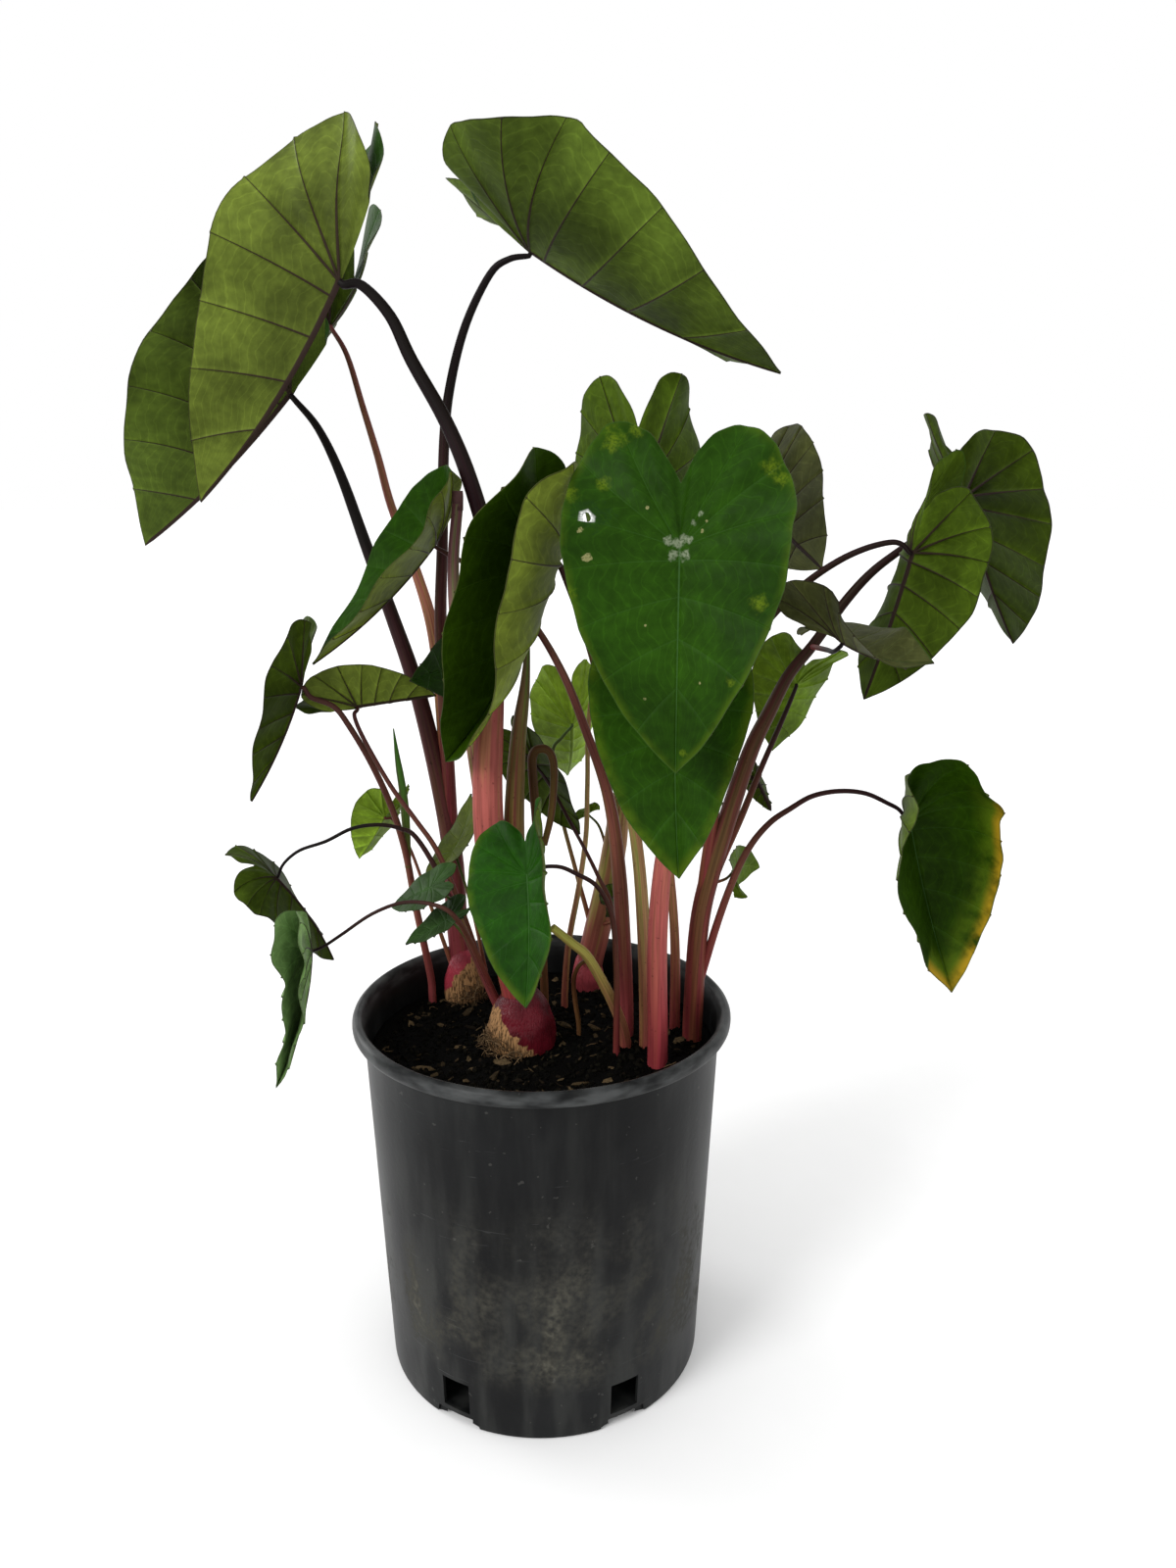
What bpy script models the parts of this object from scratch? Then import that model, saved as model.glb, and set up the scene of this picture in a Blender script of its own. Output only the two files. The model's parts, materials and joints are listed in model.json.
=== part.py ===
# Potted elephant ear: a clump of heart-shaped leaves on long stems in a black nursery pot.
# Units are metres, +Z is up, the origin is the middle of the pot's foot on the floor,
# and the front of the plant faces -Y.
import math
from dataclasses import dataclass

import bmesh
import bpy
from mathutils import Vector, noise

MM = 0.001
GAP = 0.4 * MM

# Pot: one moulded plastic shell with a rolled rim and six drain openings at its foot
TURN_STEPS = 40
POT_HEIGHT = 250 * MM
RIM_RADIUS = 125 * MM
RIM_DEPTH = 11 * MM
NECK_RADIUS = 117.5 * MM
FOOT_RADIUS = 106.8 * MM
WALL = 2.4 * MM
FLOOR_LIFT = 7 * MM
FLOOR = 2.5 * MM
BOSS_RADIUS = 73 * MM
DRAIN_COUNT = 6
DRAIN_WIDTH = 20 * MM
DRAIN_LOW = 8 * MM
DRAIN_HIGH = 32 * MM
NOTCH_WIDTH = 34 * MM

# Soil: fills the pot to a little below the rim
SOIL_TOP = 222 * MM
SOIL_LUMP = 2.6 * MM
SOIL_RINGS = 6
ROOT_DEPTH = 10 * MM
HOLE_SLACK = 0.15
JOINT_GAP = 0.35

# Leaf blades
DENSE_ROUTE = 10
BLADE = 0.8 * MM
RIB = 1.5 * MM
VEIN_SPOKES = (3.0, 6.0, 7.0, 8.0, 9.0, 10.0)
FINE_SPOKES = (0, 1, 2, 3, 4.5, 6, 6.5, 7, 7.5, 8, 8.5, 9, 10, 11)
GRAND_SPOKES = (0, 0.5, 1, 1.5, 2, 2.5, 3, 3.75, 4.5, 5.25, 6, 6.5, 7, 7.5, 8, 8.5, 9, 10, 11)
SMALL_SPOKES = (0, 1.5, 3, 4.5, 6, 7, 8, 9, 10, 11)
LARGE_LEAF = 82
LARGER_LEAF = 112
GRAND_LEAF = 117.5
FINE_RINGS = (0, 0.38, 0.72, 1)
SMALL_RINGS = (0, 0.5, 1)
# Half a heart with its stem joint at 0, 0 and its tip at 0, 1, from the notch round to the tip
MARGIN = ((0, -0.30), (0.065, -0.43), (0.165, -0.54), (0.295, -0.575), (0.415, -0.49), (0.49, -0.30),
          (0.515, -0.08), (0.485, 0.16), (0.405, 0.41), (0.28, 0.66), (0.125, 0.87), (0, 1))
# Where each spoke leaves the midrib, and how far it bows towards the notch
SPOKE_ROOT = (0, 0, 0, 0, 0, 0, 0, 0.07, 0.25, 0.46, 0.68, 1)
SPOKE_BOW = (0, 0, 0, 0, 0.02, 0.05, 0.08, 0.10, 0.12, 0.12, 0.10, 0)
HALF_WIDTH = 0.5
LOBE_LENGTH = 0.57

LEAF_GREEN = (0.030, 0.105, 0.022, 1)
UNDER_GREEN = (0.105, 0.160, 0.030, 1)
PALE_GREEN = (0.170, 0.300, 0.050, 1)
STEM_DARK = (0.060, 0.020, 0.022, 1)
STEM_PINK = (0.330, 0.085, 0.080, 1)
STEM_RED = (0.280, 0.035, 0.045, 1)
STEM_YELLOW = (0.420, 0.330, 0.120, 1)
WITHERED_BROWN = (0.120, 0.050, 0.025, 1)
POT_BLACK = (0.018, 0.019, 0.020, 1)
SOIL_DARK = (0.016, 0.012, 0.009, 1)


@dataclass
class Blade:
    """One leaf blade. Lengths are in millimetres and angles in degrees.

    heading and dip point from the stem joint to the tip, roll turns the blade about that line.
    fold and curl lift each half, seen from above with the tip ahead, and bend drops the tip.
    """
    name: str
    joint: tuple
    heading: float
    dip: float
    roll: float
    length: float
    width: float = 1.0
    lobe: float = 1.0
    fold: tuple = (15, 15)
    curl: tuple = (0, 0)
    lobe_fold: tuple = (0, 0)
    bend: tuple = (15, 10)
    twist: float = 0
    wave: float = 0.018
    waves: float = 4.5
    phase: float = 0
    turned_over: bool = False
    colour: tuple = LEAF_GREEN

    def axes(self):
        heading, dip, roll = (math.radians(angle) for angle in (self.heading, self.dip, self.roll))
        ahead = Vector((math.cos(heading) * math.cos(dip), math.sin(heading) * math.cos(dip), -math.sin(dip)))
        upper = Vector((math.cos(heading) * math.sin(dip), math.sin(heading) * math.sin(dip), math.cos(dip)))
        across = ahead.cross(upper)
        return (across * math.cos(roll) - upper * math.sin(roll), ahead,
                upper * math.cos(roll) + across * math.sin(roll))

    def away_from_stem(self):
        """Direction from the stem's end to the blade, which a flopped leaf has on its other side."""
        across, _, upper = self.axes()
        lean = math.radians((self.fold[1] - self.fold[0]) / 2)
        middle = upper * math.cos(lean) - across * math.sin(lean)
        return -middle if self.turned_over else middle

    def flat(self, spoke, reach):
        """Point of the flat right half: spoke 0 is the notch and 11 the tip, reach 1 is the margin."""
        edge = smooth_point(MARGIN, spoke)
        edge_x = edge[0] * self.width
        edge_y = edge[1] * (self.lobe if edge[1] < 0 else 1)
        root_y = between(SPOKE_ROOT, spoke)
        bow = between(SPOKE_BOW, spoke) * reach * (1 - reach)
        run_y = edge_y - root_y
        return edge_x * reach + bow * run_y, root_y + run_y * reach - bow * edge_x

    def ripple(self, spoke, reach, side):
        """Lift of the surface: a waved margin and the quilted swell between two veins."""
        turns = math.tau * self.waves * spoke / 11 + self.phase + (1.3 if side > 0 else 0)
        nearest = min(abs(spoke - vein) for vein in VEIN_SPOKES)
        swell = 0.008 * min(1, 2 * nearest) * math.sin(math.pi * min(reach, 0.95))
        fade = min(1, spoke) * min(1, (11 - spoke) / 1.5)
        return fade * (self.wave * reach * reach * math.sin(turns) + swell)

    def point(self, side, spoke, reach):
        """Place of a point of the upper face in the object's frame."""
        half = 1 if side > 0 else 0
        x, y = self.flat(spoke, reach)
        rise = self.ripple(spoke, reach, side)
        back = min(1, max(0, -y / 0.5))
        back = back * back * (3 - 2 * back)
        slope = math.radians(self.fold[half] + self.lobe_fold[half] * back)
        turn = math.radians(self.curl[half]) / HALF_WIDTH
        out, up = arc(x, slope, turn)
        end_slope = slope + turn * x
        out -= rise * math.sin(end_slope)
        up += rise * math.cos(end_slope)
        swing = math.radians(self.twist) * y
        right = side * out * math.cos(swing) + up * math.sin(swing)
        up = up * math.cos(swing) - side * out * math.sin(swing)
        drop = math.radians(self.bend[0] if y >= 0 else self.bend[1])
        if y < 0:
            drop /= LOBE_LENGTH
        run, fall = arc(abs(y), 0, drop)
        bent = drop * abs(y)
        forward = (run + up * math.sin(bent)) * (1 if y >= 0 else -1)
        across, ahead, upper = self.axes()
        local = across * right + ahead * forward + upper * (up * math.cos(bent) - fall)
        return Vector(self.joint) * MM + local * (self.length * MM)


def between(values, place):
    index = min(int(place), len(values) - 2)
    return values[index] + (values[index + 1] - values[index]) * (place - index)


def smooth_point(points, place):
    """Point on a smooth curve through the given points, at a fractional index."""
    index = min(int(place), len(points) - 2)
    share = place - index
    first, second = Vector(points[index]), Vector(points[index + 1])
    before = Vector(points[index - 1]) if index else 2 * first - second
    after = Vector(points[index + 2]) if index + 2 < len(points) else 2 * second - first
    return 0.5 * (2 * first + (second - before) * share
                  + (2 * before - 5 * first + 4 * second - after) * share ** 2
                  + (3 * first - before - 3 * second + after) * share ** 3)


def arc(length, slope, turn):
    """Run and rise along an arc that starts at a slope and turns steadily."""
    if abs(turn) < 1e-6:
        return length * math.cos(slope), length * math.sin(slope)
    end = slope + turn * length
    return (math.sin(end) - math.sin(slope)) / turn, (math.cos(slope) - math.cos(end)) / turn


# Every leaf, its joint, pose, size and form
LEAVES = (
    Blade("leaf_upper_left", (-116, 20, 700), heading=155, dip=56, roll=-7, length=173, width=0.93,
          lobe=0.91, fold=(77, 50), curl=(9, 5), lobe_fold=(27, -6), bend=(-18, -18), twist=-18, phase=0.0,
          colour=UNDER_GREEN),
    Blade("leaf_far_left", (-173.2, 120, 643.6), heading=176, dip=48, roll=54, length=171, width=1.18,
          lobe=0.82, fold=(15, 80), curl=(-37, -9), lobe_fold=(-5, 30), bend=(-32, -40), twist=13, phase=1.7,
          colour=UNDER_GREEN),
    Blade("leaf_behind_upper", (-158.4, 192, 697.8), heading=132, dip=31, roll=4, length=132, lobe=1.07,
          fold=(44, 45), curl=(7, 12), lobe_fold=(2, 19), bend=(-4, -6), twist=2, phase=3.4,
          colour=UNDER_GREEN),
    Blade("leaf_upper_right", (-4, 50, 722), heading=2, dip=33, roll=6, length=171, width=1.16,
          lobe=0.75, fold=(7, 14), curl=(2, 48), lobe_fold=(-18, -17), bend=(-18, -33), twist=-7,
          phase=5.1, colour=UNDER_GREEN),
    Blade("leaf_left_folded", (-67, 30, 547), heading=193, dip=52, roll=-13, length=107, lobe=0.82,
          fold=(27, 6), curl=(8, 25), lobe_fold=(6, -9), bend=(-20, -32), twist=6, phase=0.6),
    Blade("leaf_centre_folded", (11, -24, 540), heading=141, dip=69, roll=-52, length=148, width=1.09,
          lobe=0.79, fold=(-2, 113), curl=(60, 27), lobe_fold=(8, 11), bend=(-26, 3), phase=2.3),
    Blade("leaf_front_heart", (78, -104, 552), heading=264, dip=78, roll=2, length=118, width=1.04,
          lobe=0.93, fold=(25, 9), curl=(-5, 9), lobe_fold=(-2, -33), bend=(10, -23), twist=6, phase=4.0),
    Blade("leaf_lower_heart", (81, -55, 462), heading=265, dip=65, roll=17, length=102, width=0.98,
          fold=(20, 24), curl=(-12, 8), lobe_fold=(17, 8), bend=(16, 10), twist=4, phase=5.7),
    Blade("leaf_back_top", (64, 70, 578), heading=83, dip=71, roll=-4, length=115, width=1.02, lobe=1.22,
          fold=(36, 19), curl=(16, 53), lobe_fold=(-2, 6), bend=(-19, -23), twist=-5, phase=1.2,
          colour=PALE_GREEN),
    Blade("leaf_back_right", (136, 30, 569), heading=57, dip=19, roll=-42, length=100, width=1.08,
          fold=(15, 21), curl=(6, -1), lobe_fold=(0, -4), bend=(15, 27), twist=-3, phase=2.9,
          colour=UNDER_GREEN),
    Blade("leaf_curled", (176, -55, 497), heading=-47, dip=23, roll=-17, length=57, width=1.2, lobe=1.25,
          fold=(27, 24), curl=(-2, 18), lobe_fold=(20, -9), bend=(-35, 30), twist=58, phase=4.6,
          colour=UNDER_GREEN),
    Blade("leaf_right", (222, -20, 545), heading=129, dip=75, roll=70, length=92, width=1.11, lobe=0.96,
          fold=(46, -18), curl=(60, -6), lobe_fold=(18, 6), bend=(18, 22), twist=-20, phase=0.1,
          colour=UNDER_GREEN),
    Blade("leaf_far_right", (266, 30, 577), heading=39, dip=61, roll=21, length=116, width=1.06, lobe=0.7,
          fold=(3, 7), curl=(29, 9), lobe_fold=(4, 6), bend=(-10, 1), phase=1.8, colour=UNDER_GREEN),
    Blade("leaf_yellow_edge", (231, -20, 381), heading=22, dip=75, roll=100, length=117, width=1.04,
          lobe=0.86, fold=(18, 51), curl=(60, 10), lobe_fold=(13, 10), bend=(-21, -40), twist=6,
          phase=3.5),
    Blade("leaf_pale_right", (169, 50, 456), heading=105, dip=54, roll=9, length=62, lobe=1.02,
          fold=(27, 14), curl=(9, 35), lobe_fold=(8, -16), bend=(8, 27), twist=3, phase=5.2,
          colour=PALE_GREEN),
    Blade("leaf_small_round", (131, 28, 332), heading=72, dip=-4, roll=-54, length=32, width=1.07,
          fold=(-28, 32), curl=(0, 13), lobe_fold=(-40, 9), bend=(49, 18), twist=3, turned_over=True, phase=0.7,
          colour=PALE_GREEN),
    Blade("leaf_small_tip", (144, 42, 392), heading=17, dip=63, roll=-70, length=24, fold=(28, 68),
          curl=(11, 16), bend=(26, 10), twist=-1, phase=2.4),
    Blade("leaf_pale_centre", (19, 90, 421), heading=90, dip=61, roll=-12, length=73, width=0.97,
          lobe=1.15, fold=(33, 30), curl=(21, 35), lobe_fold=(11, -2), bend=(-35, -40), twist=1,
          phase=4.1, colour=PALE_GREEN),
    Blade("leaf_dark_low", (-7, 75, 398), heading=-6, dip=59, roll=-31, length=62, width=1.02,
          fold=(-30, 2), curl=(-6, 2), lobe_fold=(1, 0), bend=(-1, 10), twist=-2, phase=5.8),
    Blade("leaf_front_low", (-6, -60, 359), heading=279, dip=57, roll=37, length=81, width=1.02,
          lobe=0.85, fold=(16, 2), curl=(60, 1), lobe_fold=(1, -6), bend=(-17, 9), twist=-5, phase=1.3),
    Blade("leaf_pale_left", (-112, 65, 360), heading=151, dip=60, roll=21, length=44, lobe=0.95,
          fold=(18, 17), curl=(15, 17), lobe_fold=(-4, 5), bend=(-15, 11), twist=5, phase=3.0,
          colour=PALE_GREEN),
    Blade("leaf_narrow_left", (-146, -12, 464), heading=202, dip=71, roll=21, length=78, lobe=0.92,
          fold=(15, 20), curl=(6, 33), lobe_fold=(0, -1), bend=(-15, 4), twist=1, phase=4.7),
    Blade("leaf_side_left", (-116, 8, 448), heading=27, dip=-4, roll=-46, length=53, width=1.02,
          lobe=1.07, fold=(34, 37), curl=(13, 11), lobe_fold=(24, 5), bend=(0, 10), twist=-1, phase=0.2,
          colour=UNDER_GREEN),
    Blade("leaf_low_left", (-167, -20, 343), heading=34, dip=52, roll=12, length=74, width=1.03,
          lobe=0.74, fold=(-7, -29), curl=(12, 12), lobe_fold=(-8, -8), bend=(19, 60), twist=4,
          turned_over=True, phase=2.1, colour=UNDER_GREEN),
    Blade("leaf_hanging_left", (-140, -50, 305), heading=136, dip=82, roll=-100, length=90, width=0.97,
          lobe=0.95, fold=(53, 105), curl=(-5, 23), lobe_fold=(-9, -5), bend=(-35, -33), twist=-6,
          phase=3.6),
    Blade("leaf_young_left", (-68, -25, 339), heading=162, dip=29, roll=-43, length=34, lobe=0.94,
          fold=(12, -8), curl=(8, -3), lobe_fold=(0, -1), bend=(6, 6), twist=-1, phase=5.3),
    Blade("leaf_young_low", (-58, -32, 320), heading=187, dip=35, roll=-25, length=30, fold=(20, 0),
          curl=(8, -1), lobe_fold=(2, 2), bend=(-15, 1), phase=0.8),
    Blade("leaf_young_upright", (-62, 42, 342), heading=45, dip=-44, roll=-22, length=42, fold=(9, 0),
          curl=(3, 0), lobe_fold=(-1, 19), bend=(-35, 10), twist=2, phase=2.5, colour=UNDER_GREEN),
    Blade("leaf_small_back", (30, 95, 354), heading=59, dip=-15, roll=-13, length=16, fold=(15, 48),
          curl=(6, 17), lobe_fold=(0, 1), bend=(31, 15), phase=4.2, colour=PALE_GREEN),
    Blade("leaf_small_dark", (46, 60, 300), heading=66, dip=-14, roll=-64, length=20, width=1.05,
          fold=(-22, 46), curl=(-6, 16), bend=(16, 10), phase=5.9),
    Blade("leaf_behind_left", (-54, 50, 469), heading=238, dip=5, roll=-62, length=52, fold=(6, 32),
          curl=(0, 7), bend=(-2, 10), twist=-2, phase=1.4),
)

# Stem routes run from the leaf joint down to the soil, in millimetres
STEM_UPPER_LEFT = ((-103, 20, 698), (-87, 20, 681), (-75, 18, 656), (-55, 12, 621), (-41, 8, 587),
                   (-31, 12, 546), (-28, 11, 499), (-31, 10, 451), (-34, 8, 407), (-33, 2, 363),
                   (-26, -4, 310), (-16, -5, 255), (-14, -4, 225))
STEM_FAR_LEFT = ((-155, 117, 622), (-140, 112, 591), (-124, 106, 545), (-106, 98, 495), (-90, 89, 448),
                 (-76, 85, 385), (-67, 82, 328), (-65, 79, 280), (-61, 72, 240), (-60, 70, 222))
FRONT_CORM = (-14, -4)
BACK_CORM = (-60, 70)
MID_CORM = (30, 88)
FRONT_CORM_SIZE = (23.5, 264)
BACK_CORM_SIZE = (15, 258)
MID_CORM_SIZE = (12.5, 252)

# Each stem that stands alone: its leaf, its radii from top to foot, and its route below the leaf
SINGLE_STEMS = (
    ("stem_left_thin", "leaf_narrow_left", (1.4, 2.2, 3.0),
     ((-140, -10, 457), (-127, -8, 451), (-119, -2, 437), (-109, 12, 410), (-100, 27, 377),
      (-94, 40, 342), (-90, 52, 297), (-83, 60, 245), (-82, 61, 228), (-82, 61, 212)), STEM_PINK),
    ("stem_crossing", "leaf_left_folded", (1.2, 2.0, 3.2, 5.0, 5.3),
     ((-58, 35, 541), (-33, 40, 526), (-6, 40, 498), (15, 30, 464), (30, 21, 427), (41, 14, 397),
      (47, 11, 370), (51, 9, 335), (54, 9, 289), (56, 9, 240), (56, 9, 212)), STEM_PINK),
    ("stem_striped", "leaf_centre_folded", (1.6, 2.6, 3.6, 4.6, 4.6),
     ((17, -20, 531), (30, -7, 494), (47, -2, 431), (61, -3, 365), (67, -5, 298), (69, -7, 240),
      (69, -7, 212)), STEM_PINK),
    ("stem_arching_front", "leaf_front_low", (1.1, 1.5, 2.4),
     ((1, -56, 362), (13, -48, 360), (23, -40, 353), (35, -32, 343), (43, -27, 328), (47, -25, 310),
      (49, -22, 268), (49, -21, 232), (49, -21, 212)), STEM_PINK),
    ("stem_dark_low", "leaf_dark_low", (1.0, 1.4, 2.2),
     ((3, 62, 385), (20, 45, 358), (30, 34, 342), (38, 30, 326), (46, 26, 308), (50, 23, 270),
      (50, 22, 235), (50, 22, 212)), STEM_PINK),
    ("stem_back_thin", "leaf_back_top", (1.4, 1.8, 2.6),
     ((47, 68, 504), (32, 62, 439), (30, 58, 385), (29, 55, 349), (24, 52, 312), (17, 50, 273),
      (14, 50, 235), (14, 50, 212)), STEM_DARK),
    ("stem_bright_front", "leaf_front_heart", (1.8, 3.0, 4.2, 6.3, 6.7),
     ((83, -74, 547), (88, -42, 530), (90, -20, 490), (89, -20, 440), (83, -28, 392), (77, -30, 356),
      (74, -33, 306), (75, -35, 240), (75, -35, 212)), STEM_RED),
    ("stem_lower_heart", "leaf_lower_heart", (1.6, 2.6, 4.0),
     ((78, -40, 455), (72, -20, 440), (74, 0, 400), (84, 14, 340), (89, 18, 286), (90, 18, 235),
      (90, 18, 212)), STEM_PINK),
)

SHOOT_FRONT = (
    (STEM_UPPER_LEFT, "leaf_upper_left", (2.4, 3.6, 4.6, 5.6, 9.6, 10.4, 10.0)),
    (((-116, 0, 443), (-110, 0, 427), (-96, 5, 397), (-81, 8, 373), (-68, 10, 351), (-54, 10, 313),
      (-38, 8, 262), (-26, 2, 236), (-20, 0, 222)), "leaf_side_left", (1.2, 1.7, 2.6)),
    (((-161, -20, 353), (-151, -18, 361), (-135, -15, 366), (-119, -10, 373), (-103, -5, 374),
      (-90, 0, 370), (-81, 2, 364), (-68, 4, 340), (-52, 6, 298), (-34, 4, 252), (-20, -2, 225)),
     "leaf_low_left", (0.9, 1.3, 2.4)),
    (((-132, -49, 309), (-121, -47, 316), (-102, -46, 329), (-83, -45, 336), (-64, -51, 337),
      (-51, -54, 331), (-42, -34, 303), (-33, 0, 258), (-20, -2, 228)), "leaf_hanging_left",
     (0.9, 1.2, 2.2)),
    (((-61, -22, 334), (-54, -10, 318), (-43, 4, 280)), "leaf_young_left", (0.8, 1.0, 1.4)),
    (((-53, -27, 314), (-45, -16, 296), (-34, -3, 262)), "leaf_young_low", (0.8, 1.0, 1.4)),
    (((-58, 40, 333), (-48, 28, 304), (-38, 8, 268)), "leaf_young_upright", (0.8, 1.0, 1.4)),
    (((-7, 20, 497), (-10, 20, 459), (-15, 18, 421), (-18, 12, 363), (-16, 6, 305), (-13, 0, 256),
      (-13, -2, 230)), None, (0.8, 4.5, 7.0, 7.5, 7.5)),
    (((-48, 2, 581), (-52, 4, 534), (-51, 8, 487), (-44, 10, 424), (-36, 4, 368), (-33, 0, 350)),
     None, (3.4, 3.8, 4.4)),
)
SHOOT_BACK_LEFT = (
    (STEM_FAR_LEFT, "leaf_far_left", (2.0, 5.0, 7.2, 8.2, 8.0)),
    (((-144, 176, 675), (-132, 163, 639), (-120, 148, 604), (-109, 132, 569), (-90, 112, 524),
      (-77, 97, 481), (-71, 88, 420), (-68, 82, 340)), "leaf_behind_upper", (1.6, 3.0, 6.0)),
    (((-18, 52, 718), (-30, 55, 710), (-46, 60, 682), (-57, 65, 648), (-63, 70, 612), (-67, 75, 543),
      (-70, 78, 490), (-69, 82, 421), (-67, 82, 335)), "leaf_upper_right", (1.6, 3.2, 5.0)),
    (((-105, 66, 356), (-94, 67, 333), (-82, 69, 292), (-70, 72, 250), (-63, 70, 228)),
     "leaf_pale_left", (0.9, 1.2, 2.0)),
    (((-64, 66, 462), (-74, 84, 446)), "leaf_behind_left", (1.0, 1.4, 1.8)),
)
SHOOT_MID_BACK = (
    (((118, 55, 506), (91, 70, 437), (58, 84, 378), (50, 88, 333), (46, 90, 307), (38, 90, 269),
      (31, 88, 238), (30, 88, 222)), "leaf_back_right", (1.6, 5.0, 8.6, 9.8, 9.5)),
    (((12, 94, 410), (5, 96, 398), (9, 98, 360), (22, 95, 308), (33, 90, 264), (32, 88, 240)),
     "leaf_pale_centre", (1.0, 1.4, 2.2)),
    (((39, 94, 343), (46, 90, 320)), "leaf_small_back", (0.8, 1.0, 1.2)),
    (((53, 63, 290), (50, 72, 280), (40, 84, 272)), "leaf_small_dark", (0.8, 1.0, 1.4)),
)
SHOOT_RIGHT = (
    (((256, 30, 569), (240, 29, 554), (228, 28, 545), (210, 27, 531), (194, 26, 513), (174, 24, 485),
      (159, 22, 466), (147, 20, 442), (136, 18, 418), (123, 14, 378), (112, 10, 341), (104, 7, 301),
      (101, 4, 240), (101, 4, 212)), "leaf_far_right", (1.6, 2.6, 3.8, 6.4, 6.7)),
    (((215, -20, 550), (208, -18, 551), (194, -15, 547), (179, -10, 539), (162, -5, 526), (146, 0, 509),
      (134, 5, 491), (124, 8, 458), (117, 10, 420), (112, 10, 377), (107, 8, 338), (104, 7, 300)),
     "leaf_right", (1.4, 2.4, 4.0)),
    (((173, -44, 490), (175, -14, 487), (173, 24, 484)), "leaf_curled", (1.3, 1.5, 1.8)),
    (((165, 46, 445), (157, 40, 428), (144, 30, 401), (132, 22, 373), (119, 14, 346), (110, 9, 325)),
     "leaf_pale_right", (1.2, 2.0, 3.2)),
    (((224, -20, 388), (217, -20, 392), (203, -18, 398), (187, -16, 399), (171, -13, 395),
      (158, -10, 386), (146, -7, 376), (135, -3, 360), (126, 0, 339), (116, 3, 306), (105, 5, 262)),
     "leaf_yellow_edge", (1.2, 1.7, 2.8)),
    (((123, 24, 328), (112, 11, 329)), "leaf_small_round", (0.8, 1.0, 1.2)),
    (((143, 36, 391), (139, 27, 388)), "leaf_small_tip", (0.7, 0.8, 1.0)),
)
WITHERED_ROUTE = ((1, 30, 350), (6, 30, 372), (8, 30, 399), (6, 30, 412), (0, 30, 416), (-6, 31, 411),
                  (-6, 33, 392), (-4, 34, 358), (-2, 35, 301), (0, 36, 240), (0, 36, 212))
WITHERED_RADII = (1.6, 2.2, 2.6)
YELLOW_ROUTE = ((8, -30, 314), (20, -26, 302), (30, -22, 291), (43, -15, 264), (52, -10, 240),
                (55, -8, 225), (55, -8, 212))
YELLOW_RADII = (2.6, 3.6, 4.2)
LOOP_ROUTE = ((32, -21, 289), (25, -14, 282), (21, -6, 268), (22, 2, 248), (24, 8, 230), (24, 8, 212))
LOOP_RADII = (1.2, 1.6, 1.6)
SPEAR_ROUTE = ((-99, 42, 427), (-97, 42, 406), (-94, 41, 382), (-93, 41, 361), (-93, 43, 330))
SPEAR_RADII = (0.4, 2.4, 3.0, 2.2)


def clear_scene():
    for obj in list(bpy.data.objects):
        bpy.data.objects.remove(obj, do_unlink=True)


def collection(name):
    made = bpy.data.collections.new(name)
    bpy.context.scene.collection.children.link(made)
    return made


def material(name, colour, roughness):
    made = bpy.data.materials.new(name)
    made.use_nodes = True
    shader = made.node_tree.nodes["Principled BSDF"]
    shader.inputs["Base Color"].default_value = colour
    shader.inputs["Roughness"].default_value = roughness
    shader.inputs["Metallic"].default_value = 0.0
    made.diffuse_color = colour
    return made


def object_from_bmesh(name, bm, group):
    mesh = bpy.data.meshes.new(name)
    bm.to_mesh(mesh)
    bm.free()
    obj = bpy.data.objects.new(name, mesh)
    group.objects.link(obj)
    return obj


def paint(obj, colour, roughness=0.5):
    obj.data.materials.append(material(obj.name, colour, roughness))


def hide_operand(obj):
    obj.hide_render = True
    obj.display_type = "WIRE"


def combine(obj, operand, operation, solver="EXACT"):
    step = obj.modifiers.new(operation.title(), "BOOLEAN")
    step.operation = operation
    step.solver = solver
    step.object = operand
    hide_operand(operand)


def turned(name, profile, group, steps=TURN_STEPS):
    bm = bmesh.new()
    rail = [bm.verts.new((radius, 0, height)) for radius, height in profile]
    for start, end in zip(rail, rail[1:]):
        bm.edges.new((start, end))
    obj = object_from_bmesh(name, bm, group)
    screw = obj.modifiers.new("Turn", "SCREW")
    screw.angle = math.tau
    screw.steps = screw.render_steps = steps
    screw.use_merge_vertices = True
    screw.merge_threshold = 1e-5
    screw.use_normal_calculate = True
    return obj


def wall_radius(height):
    """Outer radius of the pot's straight wall at a height."""
    share = height / (POT_HEIGHT - RIM_DEPTH)
    return FOOT_RADIUS + (NECK_RADIUS - FOOT_RADIUS) * share


def wedge_cutter(name, width_low, width_high, low, high, angle, group):
    """A block through the wall, seen from the front as a trapezium."""
    bm = bmesh.new()
    bmesh.ops.create_cube(bm, size=1)
    for vert in bm.verts:
        width = width_low if vert.co.z < 0 else width_high
        vert.co.x *= width
        vert.co.y = -(FOOT_RADIUS - 1.2 * WALL) if vert.co.y > 0 else -(RIM_RADIUS + 5 * MM)
        vert.co.z = low if vert.co.z < 0 else high
    obj = object_from_bmesh(name, bm, group)
    obj.rotation_euler.z = angle
    return obj


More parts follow.
